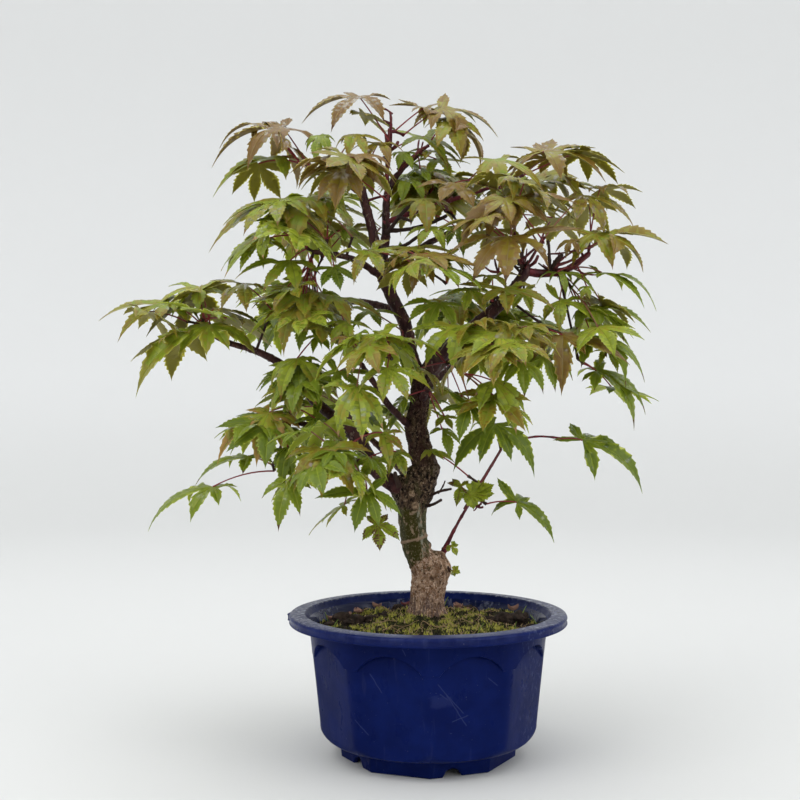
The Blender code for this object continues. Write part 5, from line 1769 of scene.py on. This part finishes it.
# ---- Bare spurs ------------------------------------------------------------------------------
# Cut-back twigs and this year's red spurs, bristling where the limbs were pinched out. Each
# row is a kind of bark, a thickness, then the spur's route.
SPURS = """
    red 1.5 67.7,-6,259.4 75,-7,262 79,-8,264
    red 1.2 67.7,-6,260.5 72.7,-8,264.5 77.3,-9,267 86.6,-10,269
    brown 1.7 64.6,-5,258.5 63.8,-7,268.8 63.2,-8,272.4
    brown 2.3 66.1,-6,259.4 68.3,-9,262.8 70.3,-10,264.8
    red 1 64.5,-6,265.8 70.5,-9,265.9 80.7,-11,267.8
    brown 1.7 50.7,-6,258.4 47.9,-8,261.3 42.5,-9,267.5
    brown 1.5 48.6,-6,256.2 45,-5,260.6 38.2,-4,268.1
    brown 1.3 50.7,-6,260.5 48.9,-8,266.1 46.7,-9,268.6
    red 1.1 50.2,-6,261.5 47.8,-9,262.8 44.9,-11,262.5
    red 1.8 54.2,-3,259.8 56.5,-6,261.5 58,-7,264.6
    red 1.5 70.1,-4,258 76.7,-6,258.4 80.1,-8,260.8 85.2,-9,265.9
    red 1 59.3,-10,272.7 62,-9,279.1 64.2,-8,282.4
    red 1 56.6,-10,272.7 53.6,-9,278.1 51.6,-8,282.4
    red 0.8 75.1,-6,258.9 83.3,-8,255 89.4,-9,254.3
    brown 1.3 50.9,-4,252.2 50.7,-6,246.7 52.2,-7,244
    brown 1.9 34.3,-6,241.4 36.2,-8,242.8 37.3,-8,235.9
    brown 2.2 -21.4,2,279.1 -7,-4,279.8 6.1,-8,284 9.3,-9,285.5
    brown 2.2 -21.4,0,278.3 -15,-4,286.2 -10.2,-6,291.2
    brown 1.8 -15,-4,285.7 -12.4,-7,284.2 -9.2,-8,283
    brown 2 -23,0,269.7 -13.4,-6,270 -5,-9,274.9
    brown 2.2 -23,0,267.6 -8.6,-6,268.4 1.4,-9,271.7
    brown 1.7 -2.1,2,131 3,-5,133.2 6.7,-8,135.6
    brown 1.5 -1.6,2,135.3 5.2,-5,139.6 11.9,-8,141.4
    brown 0.9 6.1,-8,140.3 7.7,-9,143 8.7,-10,145.7
    brown 2.4 -16.1,-6,143.9 -17.1,-8,147.2 -17.6,-9,149.9
    red 1.5 -19.8,-1,335.8 -19.8,-1,339 -20.3,-1,342.2
    red 1 -20.3,-1,342.2 -23,-2,343.6 -26.7,-3,343.4
    red 2 -21.4,2,322.6 -22,0,326.4 -22.5,-1,330
    red 2 -19.8,2,322.6 -17.1,-1,324.1 -16.1,-2,326
    red 1.4 -20.9,0,324.3 -20.9,-2,329.2 -20.9,-3,332.7
    red 2.1 -15,7,313.9 -11.2,5,316.7 -7.5,4,319.8 -4.2,3,322.8
    red 1.2 -4.8,3,322.2 -2.7,2,323.6 -0.5,1,324.5
    red 1 -5.3,3,322.2 -5.3,2,324.7 -4.8,1,327.7
    red 0.9 -3.7,3,322.8 -3.2,2,324.7 -2.7,1,326.6
    red 1.2 -13.9,7,315 -15,5,316.7 -15,4,319.2
    red 1.4 10.5,8,292.4 9.3,5,294.1 8.1,4,296.1
    red 1.4 10.5,8,292.4 11.4,5,295.2 12.9,3,297.5
    red 1.9 20.1,-4,131.5 21.1,-5,133.7 22.1,-6,135.9
    red 1.1 20.6,-4,132.6 28.5,-5,145.9 38.4,-7,162.5
    red 0.8 20.6,-4,133.6 20,-5,136.4 20,-6,139.6"""
# where spurs crowd: middle, how far they start from it, how many, and how long they are
SPUR_TUFTS = (((51, -5, 259), 2.2, 12, (4, 10)), ((66, -4, 258), 2.0, 10, (3, 8)),
              ((37, -7, 256), 1.6, 6, (3, 7)), ((-22, 1, 318), 0.8, 5, (2, 5)),
              ((26, -5, 132), 0.8, 5, (2, 4)), ((-29, -3, 277), 1.4, 4, (2, 4)))


def make_spurs():
    rng = random.Random("spurs")
    parts = {"brown": [], "red": []}
    for kind, thickness, *route in read_rows(SPURS):
        stations = smooth_route([(*point, thickness * (1 - 0.25 * number / len(route)))
                                 for number, point in enumerate(route)], 1.0)
        parts[kind].append(bark_limb(stations, 10))
    for middle, reach, count, lengths in SPUR_TUFTS:
        for _ in range(count):
            way = unit(np.array([rng.gauss(0, 1), rng.gauss(-0.5, 0.8), rng.gauss(0.6, 0.9)]))
            start = np.array(middle, float) + way * reach * 0.4
            bend = way + np.array([0, 0, 0.5])
            length, thickness = rng.uniform(*lengths), rng.uniform(0.8, 1.5)
            route = [(*start, thickness), (*(start + way * length * 0.5), thickness * 0.85),
                     (*(start + (way + bend) * length * 0.5), thickness * 0.7)]
            parts[rng.choice(("brown", "red", "red"))].append(bark_limb(smooth_route(route, 1.0), 8))
    points, faces = join_parts(parts["brown"] + parts["red"])
    brown_faces = sum(len(part[1]) for part in parts["brown"])
    tints = [0] * brown_faces + [1] * (len(faces) - brown_faces)
    paint = [plain_material("spur_brown", (0.036, 0.018, 0.013), 0.6, sheen_level=0.25),
             plain_material("spur_red", (0.120, 0.020, 0.022), 0.42, sheen_level=0.35)]
    spurs = turn_outward(make_mesh("spurs", points, faces, paint, tints))
    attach(spurs, "root")


make_spurs()


# ---- Rain ------------------------------------------------------------------------------------
# A few small drops of water stand where a curled lobe has turned over and holds them up. They are low
# domes, closed underneath, painted an opaque pale grey as painted highlights.
DROP_SIDES, DROP_RISE, DROP_SINK = 5, 0.7, 0.06
DROP_SIZES = (0.26, 0.60)


def make_drop(middle, up, radius):
    """A drop of water: a low dome, closed underneath."""
    points = [middle + up * radius * DROP_RISE]
    for corner in range(DROP_SIDES):
        out = across_blade(up, corner * math.tau / DROP_SIDES)
        points.append(middle + out * radius - up * DROP_SINK)
    faces = [(0, 1 + k, 1 + (k + 1) % DROP_SIDES) for k in range(DROP_SIDES)]
    return points, faces + [tuple(range(DROP_SIDES, 0, -1))]


def make_rain():
    rng = random.Random("rain")
    parts = []
    for points, quads, places, count in wet_leaves:
        upper = [quad for quad, (part, share) in zip(quads, places)
                 if part in ("inner", "outer") and share < 0.85]
        for quad in rng.sample(upper, min(count, len(upper))):
            corners = points[list(quad)]
            up = np.cross(corners[2] - corners[0], corners[3] - corners[1])
            if np.linalg.norm(up) > 0.05 and unit(up)[2] > 0.1:
                middle = corners.mean(0) + (corners[0] - corners[2]) * rng.uniform(-0.2, 0.2)
                parts.append(make_drop(middle, unit(up), rng.uniform(*DROP_SIZES)))
    points, faces = join_parts(parts)
    # painted highlight: the drops are painted opaque and pale to stand for the light glinting on them
    painted_glint = plain_material("rain_drop_glint", (0.560, 0.550, 0.480), 0.08, sheen_level=0.6)
    rain = make_mesh("rain", points, faces, [painted_glint], sharp=math.radians(80))
    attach(rain, "root")


make_rain()
